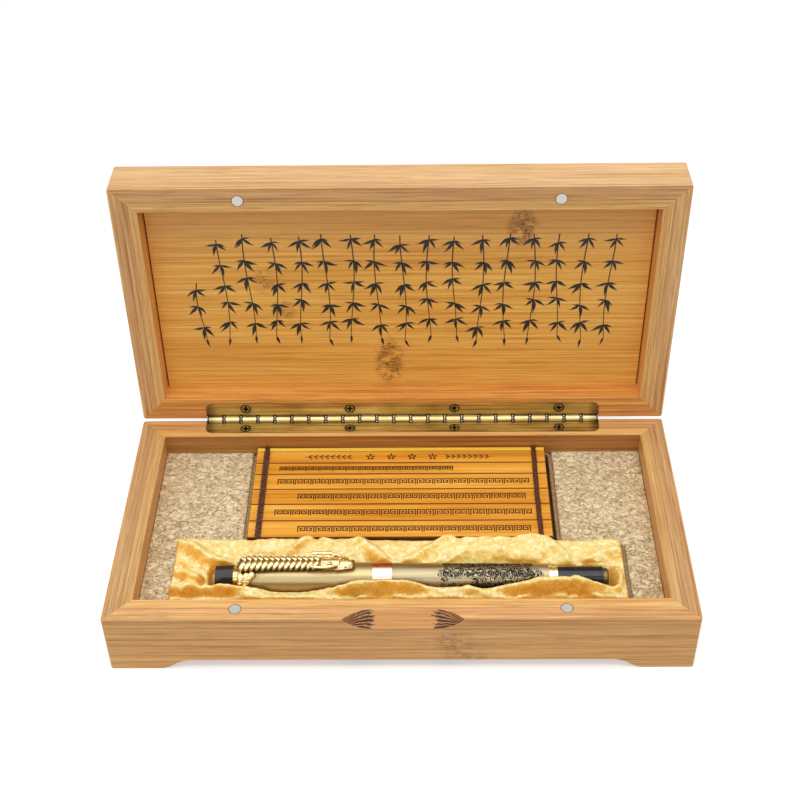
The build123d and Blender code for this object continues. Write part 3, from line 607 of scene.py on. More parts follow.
def leatherette():
    """Champagne leatherette embossed with coarse wrinkles, with painted shade in their crevices and painted highlights
    on their ridges.
    """
    g = Graph("leatherette")
    place = g.place()
    bent = g.noise(place, 260, 2)
    offset = g.vector_math("ADD", place, g.vector(bent * 0.0022, bent * -0.0016))
    wrinkles = ridge(g, g.noise(offset, (420, 540, 420), 0.5, bend=1.0), 5.5)
    crossing = ridge(g, g.noise(offset, (640, 800, 640), 1, bend=1.0), 7.0)
    height = g.math("MAXIMUM", wrinkles, crossing * 0.8)
    # The colour follows the wrinkles' height: darker in the crevices as painted shade, and near white on the ridges as
    # painted highlight.
    colour = g.ramp(
        height, (0.03, (160, 130, 84)), (0.2, (204, 174, 124)), (0.62, (226, 200, 150)), (0.9, (252, 240, 204)),
    )
    patch = g.noise(place, 24, 2)
    return g.finish(
        Base_Color=g.mix(g.span(patch, 0.4, 0.6, 0, 0.14), colour, (196, 170, 126)),
        Roughness=g.span(height, 0.2, 0.9, 0.48, 0.28),
        Normal=g.bump(height, 0.4 * mm),
        Specular_IOR_Level=0.7,
        Sheen_Weight=0.15,
    )


def board(name, scale, detail, noise_rough, dark, light, rough, depth):
    """Plain board with a fine even grain."""
    g = Graph(name)
    grain = g.noise(g.place(), scale, detail, noise_rough)
    colour = g.ramp(grain, (0.35, dark), (0.65, light))
    return g.finish(Base_Color=colour, Roughness=rough, Normal=g.bump(grain, depth, 0.5))


def dress_hardware():
    apply(hinge_brass(), "hinge_leaf_base", "hinge_leaf_lid")
    apply(metal("pin_steel", (170, 160, 130), 0.25), "hinge_pin")
    apply(screw_brass("base", 1), "hinge_screws_base")
    apply(screw_brass("lid", 2), "hinge_screws_lid")
    apply(metal("nickel", (202, 201, 195), 0.36), "magnets_base", "magnets_lid")
    apply(leatherette(), "insert_deck")
    liner = board("liner_board", 900, 3, 0.6, (122, 96, 60), (176, 150, 106), 0.6, 0.1 * mm)
    apply(liner, "recess_liner")
    support = board("grey_board", 1400, 4, 0.7, (138, 128, 112), (168, 158, 140), 0.9, 0.05 * mm)
    apply(support, "insert_support")


# Pen

brushing = (25, 2600, 2600)
etching_start = 14.5 * mm
etching_end = 52.5 * mm


def gloss(name, colour, rough=0.1):
    """Polished lacquer with faint unevenness."""
    g = Graph(name)
    cloud = g.noise(g.place(), 300)
    colour = srgb(*colour)
    return g.finish(
        Base_Color=g.mix(g.span(cloud, 0.3, 0.7), colour, scaled(colour, 1.5, 0.004)),
        Roughness=g.span(cloud, 0.3, 0.7, rough, rough + 0.05),
        Specular_IOR_Level=0.3,
        Coat_Weight=0.2,
        Coat_Roughness=0.06,
    )


def brushed_brass():
    """The cap's brass, brushed along the pen."""
    g = Graph("brushed_brass")
    place = g.place()
    lines = g.noise(place, brushing, 4, 0.7)
    cloud = g.noise(place, tuple(s * 0.12 for s in brushing), 2)
    colour = srgb(186, 168, 122)
    tone = lines * 0.7 + cloud * 0.3
    return g.finish(
        Base_Color=g.mix(g.span(tone, 0.36, 0.62), scaled(colour, 0.8), colour),
        Metallic=1.0,
        Roughness=g.span(lines, 0.3, 0.7, 0.34, 0.46),
    )


def etched_brass():
    """The barrel's brushed brass, with a marbled etching filled in black along part of it."""
    g = Graph("etched_brass")
    place = g.place()
    lines = g.noise(place, brushing, 4, 0.7)
    brass = g.mix(g.span(lines, 0.36, 0.62), (150, 136, 104), (180, 166, 132))
    flow = g.noise(place, 190, 1.2, bend=2.2)
    drawn = g.span(g.math("PINGPONG", flow * 8.0, 0.5), 0.28, 0.23)
    gaps = g.noise(place, 150, 2)
    ragged = g.split(place)[0] + (gaps - 0.5) * (14 * mm)
    inside = g.span(ragged, etching_start, etching_start + 0.4 * mm)
    inside = inside * g.span(ragged, etching_end, etching_end - 0.4 * mm)
    filled = drawn * inside * g.span(gaps, 0.66, 0.6)
    return g.finish(
        Base_Color=g.mix(filled, brass, (26, 23, 20)),
        Metallic=1.0 - filled,
        Roughness=g.span(lines, 0.3, 0.7, 0.36, 0.5),
        Specular_IOR_Level=0.2,
    )


def rose_band():
    """The cap's polished ring: copper at the back of its top, and a painted highlight of near white in front."""
    g = Graph("rose_gold")
    place = g.place()
    edge = g.split(place)[1] - pen_axis.y + (g.noise(place, 260) - 0.5) * (1.5 * mm)
    # Painted highlight: near white on the band's front half, copper behind.
    colour = g.mix(g.span(edge, -0.4 * mm, 1.0 * mm), (246, 226, 212), (196, 128, 78))
    return g.finish(Base_Color=colour, Metallic=1.0, Roughness=0.2)


def clear_plastic():
    g = Graph("clear_plastic")
    rough = g.span(g.noise(g.place(), 200, 2), 0.3, 0.7, 0.04, 0.1)
    return g.finish(Base_Color=(0.9, 0.94, 0.96, 1), Roughness=rough, Transmission_Weight=0.85, IOR=1.49)


def red_glass():
    g = Graph("red_glass")
    facets = g.node("TexVoronoi", "Distance", {"Vector": g.place(), "Scale": 1500})
    colour = g.mix(g.span(facets, 0.1, 0.6), (240, 30, 52), (150, 4, 20))
    return g.finish(Base_Color=colour, Roughness=0.08, Coat_Weight=0.8, Coat_Roughness=0.03)


def dress_pen():
    apply(brushed_brass(), "cap_shell")
    apply(etched_brass(), "barrel_shell")
    apply(metal("gold_plate", (226, 196, 124), 0.18), "cap_finial", "cap_neck")
    apply(metal("pale_gold", (240, 228, 196), 0.16), "barrel_rings")
    apply(rose_band(), "cap_band")
    apply(gloss("black_gloss", (22, 22, 26)), "cap_crown", "barrel_tail", "grip_section")
    apply(metal("stud_brass", (112, 98, 58), 0.3), "tail_stud")
    plastic = gloss("black_plastic", (28, 28, 30), 0.35)
    apply(plastic, "inner_cap", "feed", "converter_knob", "converter_piston")
    apply(metal("nib_steel", (206, 202, 190), 0.16), "nib", "converter_collar")
    apply(clear_plastic(), "converter_tube")
    apply(red_glass(), "clip_stones")


# Slip book

slip_edge_line = 0.3 * mm
print_height = 0.03 * mm
print_width = 0.48 * mm
key_size = 2.7 * mm
small_key_size = 2.1 * mm
key_pitch = 1.3
key_steps = ((0, 0), (0, 1), (1, 1), (1, 0.22), (0.36, 0.22), (0.36, 0.64), (0.68, 0.64))
key_rows = {
    "slip_1": (-40.4, 51.4), "slip_2": (-50.0, 52.0), "slip_3": (-41.4, 50.9),
    "slip_4": (-50.0, 52.0), "slip_5": (-49.8, 23.6),
}
rosettes = (-13.0, -4.5, 4.0, 12.5)
rosette_radius = 1.9 * mm
sprays = ((-30.0, 1), (28.0, -1))
spray_half_length = 10.0 * mm


def slip_bamboo(name, seed, node=None, shades=slip_shades):
    """Amber bamboo skin with fine level fibres, darker along its long edges where a node is given."""
    g = Graph(name)
    place = g.place()
    broad, fibres = grain_layers(g, place, "x", seed, slip_grain)
    colour = wood_ramp(g, fibres * 0.5 + broad * 0.5, shades)
    if node is not None:
        low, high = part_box(node)
        y = g.split(place)[1]
        from_edge = g.math("MINIMUM", y - low.y, high.y - y)
        colour = g.mix(g.span(from_edge, slip_edge_line * 1.2, slip_edge_line * 0.5, 0, 0.9), colour, (84, 38, 8))
    return wood_finish(g, colour, fibres, broad)


def ink(name, colour):
    """Brushed ink with a dry edge."""
    g = Graph(name)
    wash = g.noise(g.place(), 1400, 3, 0.7)
    colour = srgb(*colour)
    lighter = scaled(colour, 1.9, 0.012)
    return g.finish(Base_Color=g.mix(g.span(wash, 0.42, 0.7), colour, lighter), Roughness=0.5)


def dress_slips():
    for number in range(6):
        name = f"slip_{number + 1}"
        apply(slip_bamboo(f"slip_bamboo_{number}", 40 + 3 * number, name), name)
    apply(slip_bamboo("slip_bamboo_edge", 70, shades=light_slip_shades), "slip_back_edge")
    core = ("slip_front_edge", "slips_second_row", "slips_third_row", "slips_bottom_row")
    apply(slip_bamboo("slip_bamboo_core", 75), *core)


def slip_surface(name):
    """Places on a slip's top face, by distance along the box and from the slip's front edge, and its width."""
    low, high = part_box(name)

    def place(u, v, h):
        return (u, low.y + v, high.z + h)
    return place, high.y - low.y


def key_row(shape, surface, start, end, foot, size):
    """A traditional square-spiral border along a slip, alternate units turned about."""
    pitch = size * key_pitch
    half = print_width / 2
    for n in range(int((end - start) / pitch)):
        left = start + n * pitch
        corners = [(left + (1 - u if n % 2 else u) * size, foot + v * size) for u, v in key_steps]
        for (u0, v0), (u1, v1) in zip(corners, corners[1:]):
            du = math.copysign(half, u1 - u0) if u1 != u0 else 0
            dv = math.copysign(half, v1 - v0) if v1 != v0 else 0
            shape.stroke([(u0 - du, v0 - dv), (u1 + du, v1 + dv)], [print_width] * 2, surface, print_height)


def rosette(shape, surface, u, v, radius):
    """A five-petalled blossom."""
    for n in range(5):
        angle = math.pi / 2 + 2 * math.pi * n / 5
        points, widths = [], []
        for share, wide in ((0.22, 0.1), (0.45, 0.42), (0.75, 0.5), (1.0, 0.12)):
            points.append((u + math.cos(angle) * radius * share, v + math.sin(angle) * radius * share))
            widths.append(radius * wide)
        shape.stroke(points, widths, surface, print_height)


def leaf_spray(shape, surface, u, v, half, turn):
    """A slim stem with paired leaves, pointing along the slip."""
    stem = 0.3 * mm
    points = [(u - half, v), (u, v + 0.25 * mm), (u + half, v)]
    shape.stroke(points, [stem, stem, stem * 0.6], surface, print_height)
    lean = turn * 1.9 * mm
    for n in range(8):
        at = u - half * 0.85 + n * half * 0.23
        for side in (-1, 1):
            points = [(at, v), (at + lean * 0.5, v + side * 0.8 * mm), (at + lean, v + side * 1.15 * mm)]
            shape.stroke(points, [0.16 * mm, 0.62 * mm, 0.1 * mm], surface, print_height)


def slip_ornament():
    """Borders and small figures printed on the slips, in place of writing."""
    shape = Shape()
    for name, (start, end) in key_rows.items():
        surface, width = slip_surface(name)
        size = small_key_size if name == "slip_5" else key_size
        key_row(shape, surface, start * mm, end * mm, (width - size) / 2, size)
    surface, width = slip_surface("slip_6")
    for x in rosettes:
        rosette(shape, surface, x * mm, width / 2, rosette_radius)
    for x, turn in sprays:
        leaf_spray(shape, surface, x * mm, width / 2, spray_half_length, turn)
    shape.piece("slip_ornament", "slip_book_cover", ink("print_ink", (52, 20, 8)), "cord", smooth=False)


# Binding cords

cord_lift = 0.45 * mm
cord_step = 0.3 * mm


def thread(name, dark, light, twist_scale):
    """Waxed thread with a fine lay."""
    g = Graph(name)
    lay = g.noise(g.place(), twist_scale, 3, 0.6)
    colour = g.ramp(lay, (0.38, dark), (0.64, light))
    return g.finish(Base_Color=colour, Roughness=0.7, Normal=g.bump(lay, 0.12 * mm, 0.8), Specular_IOR_Level=0.25)


def rounded_route(corners, radius):
    """Points a step apart along (y, z) corners, with the corners rounded."""
    corners = [Vector(corner) for corner in corners]
    path = [corners[0]]
    for before, corner, after in zip(corners, corners[1:], corners[2:]):
        back = (before - corner).normalized()
        ahead = (after - corner).normalized()
        for t in even_steps(4):
            path.append(corner + back * radius * (1 - t) * (1 - t) + ahead * radius * t * t)
    path.append(corners[-1])
    points = [path[0]]
    for a, b in zip(path, path[1:]):
        count = max(1, round((b - a).length / cord_step))
        points.extend(a.lerp(b, n / count) for n in range(1, count + 1))
    return points


def route_normal(route, i):
    ahead = (route[min(i + 1, len(route) - 1)] - route[max(i - 1, 0)]).normalized()
    return Vector((-ahead.y, ahead.x))


def plaited_cord(shape, x, route, spread, radius, pitch):
    """Three strands laid over each other along a route in the plane across the box at x."""
    length = 0.0
    strands = ([], [], [])
    for i, point in enumerate(route):
        normal = route_normal(route, i)
        if i:
            length += (point - route[i - 1]).length
        for k, strand in enumerate(strands):
            phase = 2 * math.pi * (length / pitch + k / 3)
            place = point + normal * math.sin(2 * phase) * radius * 0.45
            strand.append(Vector((x + math.cos(phase) * spread, place.x, place.y)))
    for strand in strands:
        shape.tube(strand, [radius] * len(strand))


def flat_band(shape, x, route, half_width, thickness, sway):
    """A flat woven band along a route, its edges a little uneven."""
    rings = []
    for i, point in enumerate(route):
        normal = route_normal(route, i)
        drift = sway * noise.noise(Vector((point.x * 160, point.y * 160, x * 50)))
        wide = half_width * (1 + 0.12 * noise.noise(Vector((point.x * 420, 3.0, point.y * 420))))
        ring = []
        for angle in round_angles(10):
            w = math.copysign(abs(math.sin(angle)) ** 0.6, math.sin(angle))
            place = point + normal * w * thickness / 2
            ring.append(Vector((x + drift + math.cos(angle) * wide, place.x, place.y)))
        rings.append(ring)
    shape.rings(rings)


def cords():
    """The two bindings, each in a part over the top row and a part at the book's back: a plait on the
    left, and a flat band on the right."""
    threads = {
        "left": thread("cord_plaited", (44, 22, 14), (128, 82, 60), (2600, 900, 2600)),
        "right": thread("cord_woven", (58, 28, 18), (112, 64, 44), (5200, 1500, 5200)),
    }
    slip_low, slip_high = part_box("slip_6")
    rear_low, rear_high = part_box("slip_back_edge")
    row_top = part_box("slips_second_row")[1].z + 0.2 * mm
    over, below = slip_high.z + cord_lift, slip_low.z - 0.16 * mm
    crest, rear = rear_high.z + cord_lift, rear_high.y + 0.02 * mm
    for side, material in threads.items():
        low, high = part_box(f"cover_cord_{side}")
        x = (low.x + high.x) / 2
        edge = low.y + 0.1 * mm
        cover_corners = ((high.y - 0.2 * mm, over), (edge, over), (edge, below), (edge + 3.25 * mm, below))
        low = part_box(f"core_cord_{side}")[0]
        front, foot = low.y + 0.35 * mm, low.z + 0.35 * mm
        core_corners = (
            (rear_low.y + 0.1 * mm, crest), (rear, crest), (rear, foot),
            (front, foot), (front, row_top), (rear_low.y - 1 * mm, row_top),
        )
        for part, body, corners, bend, plait, band in (
            ("cover", "slip_book_cover", cover_corners, 0.5, (0.78, 0.5, 6.4), (1.0, 0.5, 0.35)),
            ("core", "slip_book", core_corners, 0.4, (0.72, 0.34, 6.4), (1.0, 0.45, 0.2)),
        ):
            shape = Shape()
            lay, sizes = (plaited_cord, plait) if side == "left" else (flat_band, band)
            lay(shape, x, rounded_route(corners, bend * mm), *(size * mm for size in sizes))
            shape.piece(f"{part}_binding_{side}", body, material, "cord", replaces=[f"{part}_cord_{side}"])


# Lid ornament

opening_turn = Matrix.Rotation(-open_angle, 3, "X")
panel_height = min((hinge_place + closing_turn @ (v.co - hinge_place)).z for v in nodes["lid_panel"].data.vertices)
vine_pitch = 10.15 * mm
vine_count = 17
vine_shift = 1 * mm
vine_sway = 1.1 * mm
vine_width = 0.5 * mm
vine_top = 83 * mm
vine_foot = 33.5 * mm
short_vine_top = 62 * mm
vine_steps = 24
vine_joint_pitch = 10.0 * mm
# The leaves at a joint: lean from straight down, and length
vine_leaves = ((0.35, 6.0), (1.05, 5.2), (-0.75, 5.4), (-1.5, 3.6))
end_leaf = 4.5 * mm
leaf_widths = (0.05, 0.62, 1.0, 0.92, 0.62, 0.3, 0.03)
ink_height = 0.04 * mm


def lid_surface(u, v, h):
    """A place on the open lid's panel, from its place along the box, its distance from the back and its height."""
    closed = Vector((u, back_high.y - v, panel_height - h))
    return hinge_place + opening_turn @ (closed - hinge_place)


def bamboo_leaf(shape, u, v, angle, length, rng):
    """One brushed leaf, drawn from its stalk to its tip."""
    bend = rng.uniform(-0.28, 0.28)
    broad = length * rng.uniform(0.2, 0.27)
    points = []
    for t in even_steps(len(leaf_widths) - 1):
        lean = angle + bend * t
        points.append((u + math.cos(lean) * length * t, v + math.sin(lean) * length * t))
    shape.stroke(points, [broad * w for w in leaf_widths], lid_surface, ink_height)


def hanging_vine(shape, u, top, foot, rng):
    """A thin hanging stem with a spray of leaves at each of its joints."""
    sway = rng.uniform(0, math.tau)
    points, widths = [], []
    for t in even_steps(vine_steps):
        points.append((u + math.sin(sway + t * 4.2) * vine_sway, top + (foot - top) * t))
        widths.append(vine_width * (1 - 0.4 * t))
    shape.stroke(points, widths, lid_surface, ink_height)
    joint_count = round((top - foot) / vine_joint_pitch)
    for joint in range(joint_count):
        at = (joint + 0.25 + rng.uniform(-0.12, 0.12)) / joint_count
        x, y = points[round(at * vine_steps)]
        side = 1 if joint % 2 else -1
        for lean, length in vine_leaves:
            angle = -math.pi / 2 + side * lean + rng.uniform(-0.18, 0.18)
            bamboo_leaf(shape, x, y, angle, length * rng.uniform(0.85, 1.15) * mm, rng)
    bamboo_leaf(shape, *points[-1], -math.pi / 2 + rng.uniform(-0.3, 0.3), end_leaf, rng)


def lid_ornament():
    """Hanging vines in black ink across the lid's panel, the one at the left shorter."""
    rng = random.Random(11)
    shape = Shape()
    for n in range(vine_count):
        u = (n - (vine_count - 1) / 2) * vine_pitch + vine_shift
        top = short_vine_top if n == 0 else vine_top + rng.uniform(-1.5, 1.5) * mm
        hanging_vine(shape, u, top, vine_foot + rng.uniform(0, 3) * mm, rng)
    shape.piece("lid_ornament", "lid", ink("brush_ink", (20, 18, 20)), "cord", smooth=False)


# Satin

satin_step = 0.4 * mm
# The heights of the two rolls' crests along the box
front_crest = (
    (-87, 25.5), (-83, 26.5), (-78, 25.4), (-72, 24.8), (-60, 25.1), (-54, 22.6), (-49, 20.2), (-42, 19.6), (-36, 19.8),
    (-32, 20.6), (-26, 22.9), (-19, 26.6), (-10, 28.0), (2.6, 27.6), (7, 25.2), (11, 22.9), (22, 23.5), (33, 22.2),
    (42, 25.4), (48, 27.5), (55, 28.4), (61, 28.7), (68, 27.8), (77, 24.5), (85, 23.0),
)
back_crest = (
    (-87, 23.6), (-80, 24.2), (-74, 22.9), (-55, 22.2), (-37, 23.2), (-17, 23.6), (-8, 22.2), (7, 21.6), (19, 23.6),
    (26, 24.4), (53, 24.4), (60, 22.2), (68, 21.2), (78, 21.8), (85, 22.2),
)
# Folds across the satin: their course in the plan, and each one's half width and height
satin_folds = (
    (((-87, -23), (-80, -25.5), (-74, -29), (-66, -31.5)), 1.5, 2.0),
    (((-48, -31.5), (-43, -27), (-35, -20.5)), 1.3, 1.5),
    (((-30, -21), (-24, -24), (-20, -21)), 1.3, 0.8),
    (((-17, -20), (-12, -26), (-4, -31.5)), 1.6, 1.7),
    (((-1, -31.5), (6, -28), (12, -24), (19, -20)), 1.5, 1.7),
    (((20, -29), (34, -27), (50, -29.5)), 1.8, 0.9),
    (((46, -20), (56, -22), (62, -28), (64, -31.5)), 1.7, 1.4),
    (((70, -30), (76, -27), (85, -26)), 1.6, 1.4),
    (((-87, -35), (-82, -36), (-77, -39)), 1.4, 3.0),
    (((-86, -43), (-81, -41.5), (-78, -44)), 1.9, 2.6),
    (((80.5, -33), (82.5, -38), (81, -45)), 1.3, 2.0),
    (((44, -49.5), (52, -47.6), (60, -49.2)), 1.0, 0.9),
    (((64, -46.2), (69, -48), (73, -50)), 0.9, 0.9),
    (((-15, -49.2), (-7, -47.8), (1, -49.6)), 1.0, 0.8),
    (((-68, -46.4), (-61, -48), (-53, -49.8)), 1.0, 1.0),
    (((24, -46.4), (30, -48), (37, -49.4)), 1.0, 0.7),
)
satin_overhang_left = 3.3 * mm
satin_overhang_right = 0.9 * mm
satin_back_edge = 0.9 * mm
clear_of_pen = 6.5 * mm
edge_height = 18.7 * mm
roll_foot = 18.6 * mm
crest_at = 1.9 * mm
shelf_at = 4.3 * mm
shelf_height = 21.3 * mm
back_slope = 7.2 * mm
hollow_height = 19.4 * mm
pen_low, pen_high = -72.3 * mm, 79.0 * mm
pen_hold_low, pen_hold_high = -74 * mm, 80 * mm
front_inset = 0.05 * mm
skirt_drop = 0.3 * mm
cast_clearance = 10 * mm
end_ease = 2.0 * mm
# The ground's and the brocade figure's shades run from orange, painted shade where the satin falls away, to pale where
# it lies level.
satin_stops = (0.0, 0.35, 0.62, 0.95)
ground_shades = ((244, 172, 56), (248, 190, 76), (248, 202, 94), (250, 220, 130))
figured_shades = ((250, 190, 82), (254, 208, 104), (254, 226, 134), (255, 242, 180))
# Creases in the satin: angle, length, width, seed and strength
creases = (
    (0.7, 18, 6, 17.0, 0.4), (-0.6, 14, 5, 23.0, 0.35), (0.2, 5, 2.0, 29.0, 0.22), (-0.9, 3.6, 1.4, 37.0, 0.12),
)


def drop_heights(tree, xs, ys, high, missing):
    """The height of a mesh under each point of a grid, as rows along the box."""
    rows = []
    for y in ys:
        hits = [tree.ray_cast(Vector((x, y, high)), Vector((0, 0, -1)))[0] for x in xs]
        rows.append([missing if hit is None else hit.z for hit in hits])
    return numpy.array(rows)


def crest_line(stations, xs):
    """A roll's height along the box, its corners rounded."""
    places, heights = zip(*stations)
    values = numpy.interp(xs / mm, places, heights) * mm
    sigma = 2.2 * mm / satin_step
    reach = int(math.ceil(3 * sigma))
    weights = numpy.exp(-0.5 * (numpy.arange(-reach, reach + 1) / sigma) ** 2)
    padded = numpy.pad(values, reach, mode="edge")
    return numpy.convolve(padded, weights / weights.sum(), "valid")[None, :]


def fold_relief(grid_x, grid_y):
    """How high the folds across the satin stand at each point."""
    relief = numpy.zeros_like(grid_x)
    for course, half_width, height in satin_folds:
        nearest = numpy.full_like(grid_x, 1.0)
        for (x0, y0), (x1, y1) in zip(course, course[1:]):
            dx, dy = (x1 - x0) * mm, (y1 - y0) * mm
            share = ((grid_x - x0 * mm) * dx + (grid_y - y0 * mm) * dy) / (dx * dx + dy * dy)
            share = numpy.clip(share, 0, 1)
            away = numpy.hypot(grid_x - x0 * mm - dx * share, grid_y - y0 * mm - dy * share)
            nearest = numpy.minimum(nearest, away)
        width = half_width * mm
        relief += height * mm * numpy.exp(-(nearest / width) ** 2)
        relief -= 0.35 * height * mm * numpy.exp(-((nearest - 2.2 * width) / width) ** 2)
    return relief


def crease(x, y, angle, length, width, seed):
    """A soft fold pattern of 0 to 1 whose ridges run at an angle."""
    c, s = math.cos(angle), math.sin(angle)
    u = (x * c + y * s) / (length * mm)
    v = (y * c - x * s) / (width * mm)
    bend = noise.noise(Vector((u * 0.8, v * 0.5, seed + 9.1))) * 0.9
    value = noise.noise(Vector((u + bend * 0.3, v + bend, seed)))
    return (1 - min(1, abs(value) * 2.2)) ** 1.3


def crumple(x, y):
    """How far the satin's creases stand out at a point, in metres."""
    broad = noise.noise(Vector((x / (15 * mm), y / (6 * mm), 3.0))) * 0.9
    return (broad + sum(crease(x, y, *form) * strength for *form, strength in creases) - 0.4) * mm


def quarter(share):
    """The rise of a quarter circle, from 0 at 0 to 1 at 1."""
    return numpy.sqrt(numpy.clip(1 - (1 - numpy.clip(share, 0, 1)) ** 2, 0, 1))


def smooth_step(share):
    share = numpy.clip(share, 0, 1)
    return share * share * (3 - 2 * share)


def between(low, high, share):
    return low + (high - low) * share


def satin_heights(xs, ys, cast):
    """The heights of the satin over a grid, a trough for the pen between two rolls, and how free it is of the pen."""
    grid_x, grid_y = numpy.meshgrid(xs, ys)
    front, back = crest_line(front_crest, xs), crest_line(back_crest, xs)
    from_pen = pen_axis.y - clear_of_pen - grid_y
    shelf = shelf_height + 0.5 * mm * numpy.sin(grid_x / (9 * mm))
    rise = between(roll_foot, front, quarter(from_pen / crest_at))
    fall = between(front, shelf, smooth_step((from_pen - crest_at) / (shelf_at - crest_at)))
    front_roll = numpy.where(from_pen < crest_at, rise, fall)
    front_roll = between(edge_height, front_roll, quarter((grid_y - ys[0]) / (1.4 * mm)))
    slope = (grid_y - (pen_axis.y + clear_of_pen)) / back_slope
    back_roll = between(roll_foot, back, 0.35 * quarter(slope * 2.5) + 0.65 * smooth_step(slope))
    back_roll = between(edge_height, back_roll, quarter((ys[-1] - grid_y) / (2.2 * mm)))
    rolls = numpy.where(grid_y < pen_axis.y, front_roll, back_roll)
    away = numpy.abs(grid_y - pen_axis.y)
    past_end = numpy.maximum(pen_low - grid_x, grid_x - pen_high)
    hollow = hollow_height + 0.9 * mm * numpy.sin(grid_x / (2.6 * mm))
    beyond = between(numpy.minimum(cast, hollow), hollow, quarter(past_end / end_ease))
    end_zone = between(hollow, rolls, smooth_step((away - 4.5 * mm) / (3.5 * mm)))
    beyond = numpy.where(past_end > end_ease, end_zone, beyond)
    trough = numpy.where(past_end > 0, beyond, numpy.minimum(cast, roll_foot))
    past = numpy.clip(past_end / end_ease, 0, 1)
    heights = numpy.where(away < clear_of_pen, trough, between(rolls, end_zone, past))
    free = smooth_step((away - clear_of_pen) / (1.6 * mm))
    free = numpy.maximum(free, smooth_step(past_end / end_ease))
    heights = heights + fold_relief(grid_x, grid_y) * free
    ends = quarter(numpy.minimum(grid_x - xs[0], xs[-1] - grid_x) / (2.4 * mm))
    return between(edge_height, heights, numpy.where(heights > edge_height, ends, 1)), free


def satin_lining():
    """The crushed satin that the pen lies in, rolled up in front of it and behind."""
    low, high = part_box("satin_lining")
    x_low, x_high = low.x - satin_overhang_left, high.x + satin_overhang_right
    y_low, y_high = low.y + front_inset, high.y + satin_back_edge
    columns = round((x_high - x_low) / satin_step)
    rows = round((y_high - y_low) / satin_step)
    xs = numpy.linspace(x_low, x_high, columns + 1)
    ys = numpy.linspace(y_low, y_high, rows + 1)
    cast = drop_heights(surface_tree("satin_lining"), xs, ys, high.z + cast_clearance, edge_height)
    heights, free = satin_heights(xs, ys, cast)
    slope_y, slope_x = numpy.gradient(heights, satin_step)
    vertices = []
    for j, y in enumerate(ys):
        for i, x in enumerate(xs):
            inside = min(x - x_low, x_high - x, y - y_low, y_high - y) / end_ease
            lift = crumple(x, y) * free[j, i] * min(1.0, inside)
            normal = Vector((-slope_x[j, i], -slope_y[j, i], 1)).normalized()
            point = Vector((x, y, heights[j, i])) + normal * lift
            if abs(point.y - pen_axis.y) < clear_of_pen and pen_hold_low < x < pen_hold_high:
                point.y = y
            point.x = min(max(point.x, x_low), x_high)
            point.y = min(max(point.y, y_low), y_high)
            if x < low.x or x > high.x or y > high.y or inside < 0.5:
                point.z = max(point.z, edge_height)
            vertices.append(point)
    wide = columns + 1
    faces = []
    for j in range(rows):
        for a in range(j * wide, j * wide + columns):
            faces.append((a, a + 1, a + wide + 1, a + wide))
    loop = list(range(wide))
    loop += [j * wide + columns for j in range(1, rows + 1)]
    loop += [rows * wide + i for i in range(columns - 1, -1, -1)]
    loop += [j * wide for j in range(rows - 1, 0, -1)]
    count = len(loop)
    above = loop
    for height in (edge_height - skirt_drop, low.z):
        below = range(len(vertices), len(vertices) + count)
        for i in loop:
            place = vertices[i]
            vertices.append(Vector((min(max(place.x, low.x), high.x), min(place.y, high.y), height)))
        faces.extend((above[n], below[n], below[(n + 1) % count], above[(n + 1) % count]) for n in range(count))
        above = below
    faces.append(tuple(reversed(above)))
    shape = Shape()
    shape.add(vertices, faces)
    piece = shape.piece("satin_cushion", "base", satin_cloth(), "satin", replaces=["satin_lining"])


def satin_cloth():
    """Golden satin with a faint brocade, and painted light: pale where it lies level, orange as painted shade where it
    falls away and in its hollows.
    """
    g = Graph("satin_cloth")
    place = g.place()
    bend = g.vector(g.noise(place, 400, 2) * 0.0018, g.noise(place, 340, 2) * 0.0018)
    figure = g.noise(g.vector_math("ADD", place, bend), 520, 2.5, 0.6, 1.0)
    raised = g.span(figure, 0.47, 0.56)
    weave = g.noise(place, (900, 5200, 2600), 3, 0.6)
    crush = g.noise(place, 120, 4, 0.6, 0.6)
    # Painted light: the tone follows how far the surface faces up, pale on level parts and orange on slopes.
    level = g.split(g.node("NewGeometry", "Normal"))[2]
    tone = g.span(level, 0.3, 0.96) + (crush - 0.5) * 1.1
    ground, figured = (g.ramp(tone, *zip(satin_stops, shades)) for shades in (ground_shades, figured_shades))
    # Painted shade: deep orange in the hollows of the folds.
    hollows = g.span(g.node("NewGeometry", "Pointiness"), 0.49, 0.43, 0, 0.7)
    wrinkle = g.noise(place, 330, 3, 0.6, 1.4)
    relief = g.bump(weave, 0.05 * mm, 0.35, g.bump(crush, 0.5 * mm, 0.4))
    return g.finish(
        Base_Color=g.mix(hollows, g.mix(raised, ground, figured), (214, 128, 20)),
        Roughness=g.span(raised, 0, 1, 0.4, 0.28),
        Normal=g.bump(wrinkle + raised * 0.12, 0.45 * mm, 0.7, relief),
        Sheen_Weight=0.15,
        Sheen_Roughness=0.35,
        Specular_IOR_Level=0.6,
        Anisotropic=0.4,
    )


# Serpent clip

clip_length = 44.0
# Distance from the root, height over the pen's axis, half width and half height
clip_sections = (
    (0.0, 6.4, 2.9, 1.2), (2.6, 8.2, 3.6, 1.6), (7.0, 8.3, 3.5, 1.7), (14.0, 8.3, 3.15, 1.7), (31.5, 8.3, 3.0, 1.65),
    (35.7, 8.4, 3.3, 1.8), (40.2, 8.3, 2.9, 1.55), (42.9, 8.1, 2.6, 1.25), (44.0, 7.9, 1.5, 0.7),
)
core_stations = 64
snout_start = 31.5
snout_length = 12.3
strand_pitch = 2.1
braid_end = 31.0
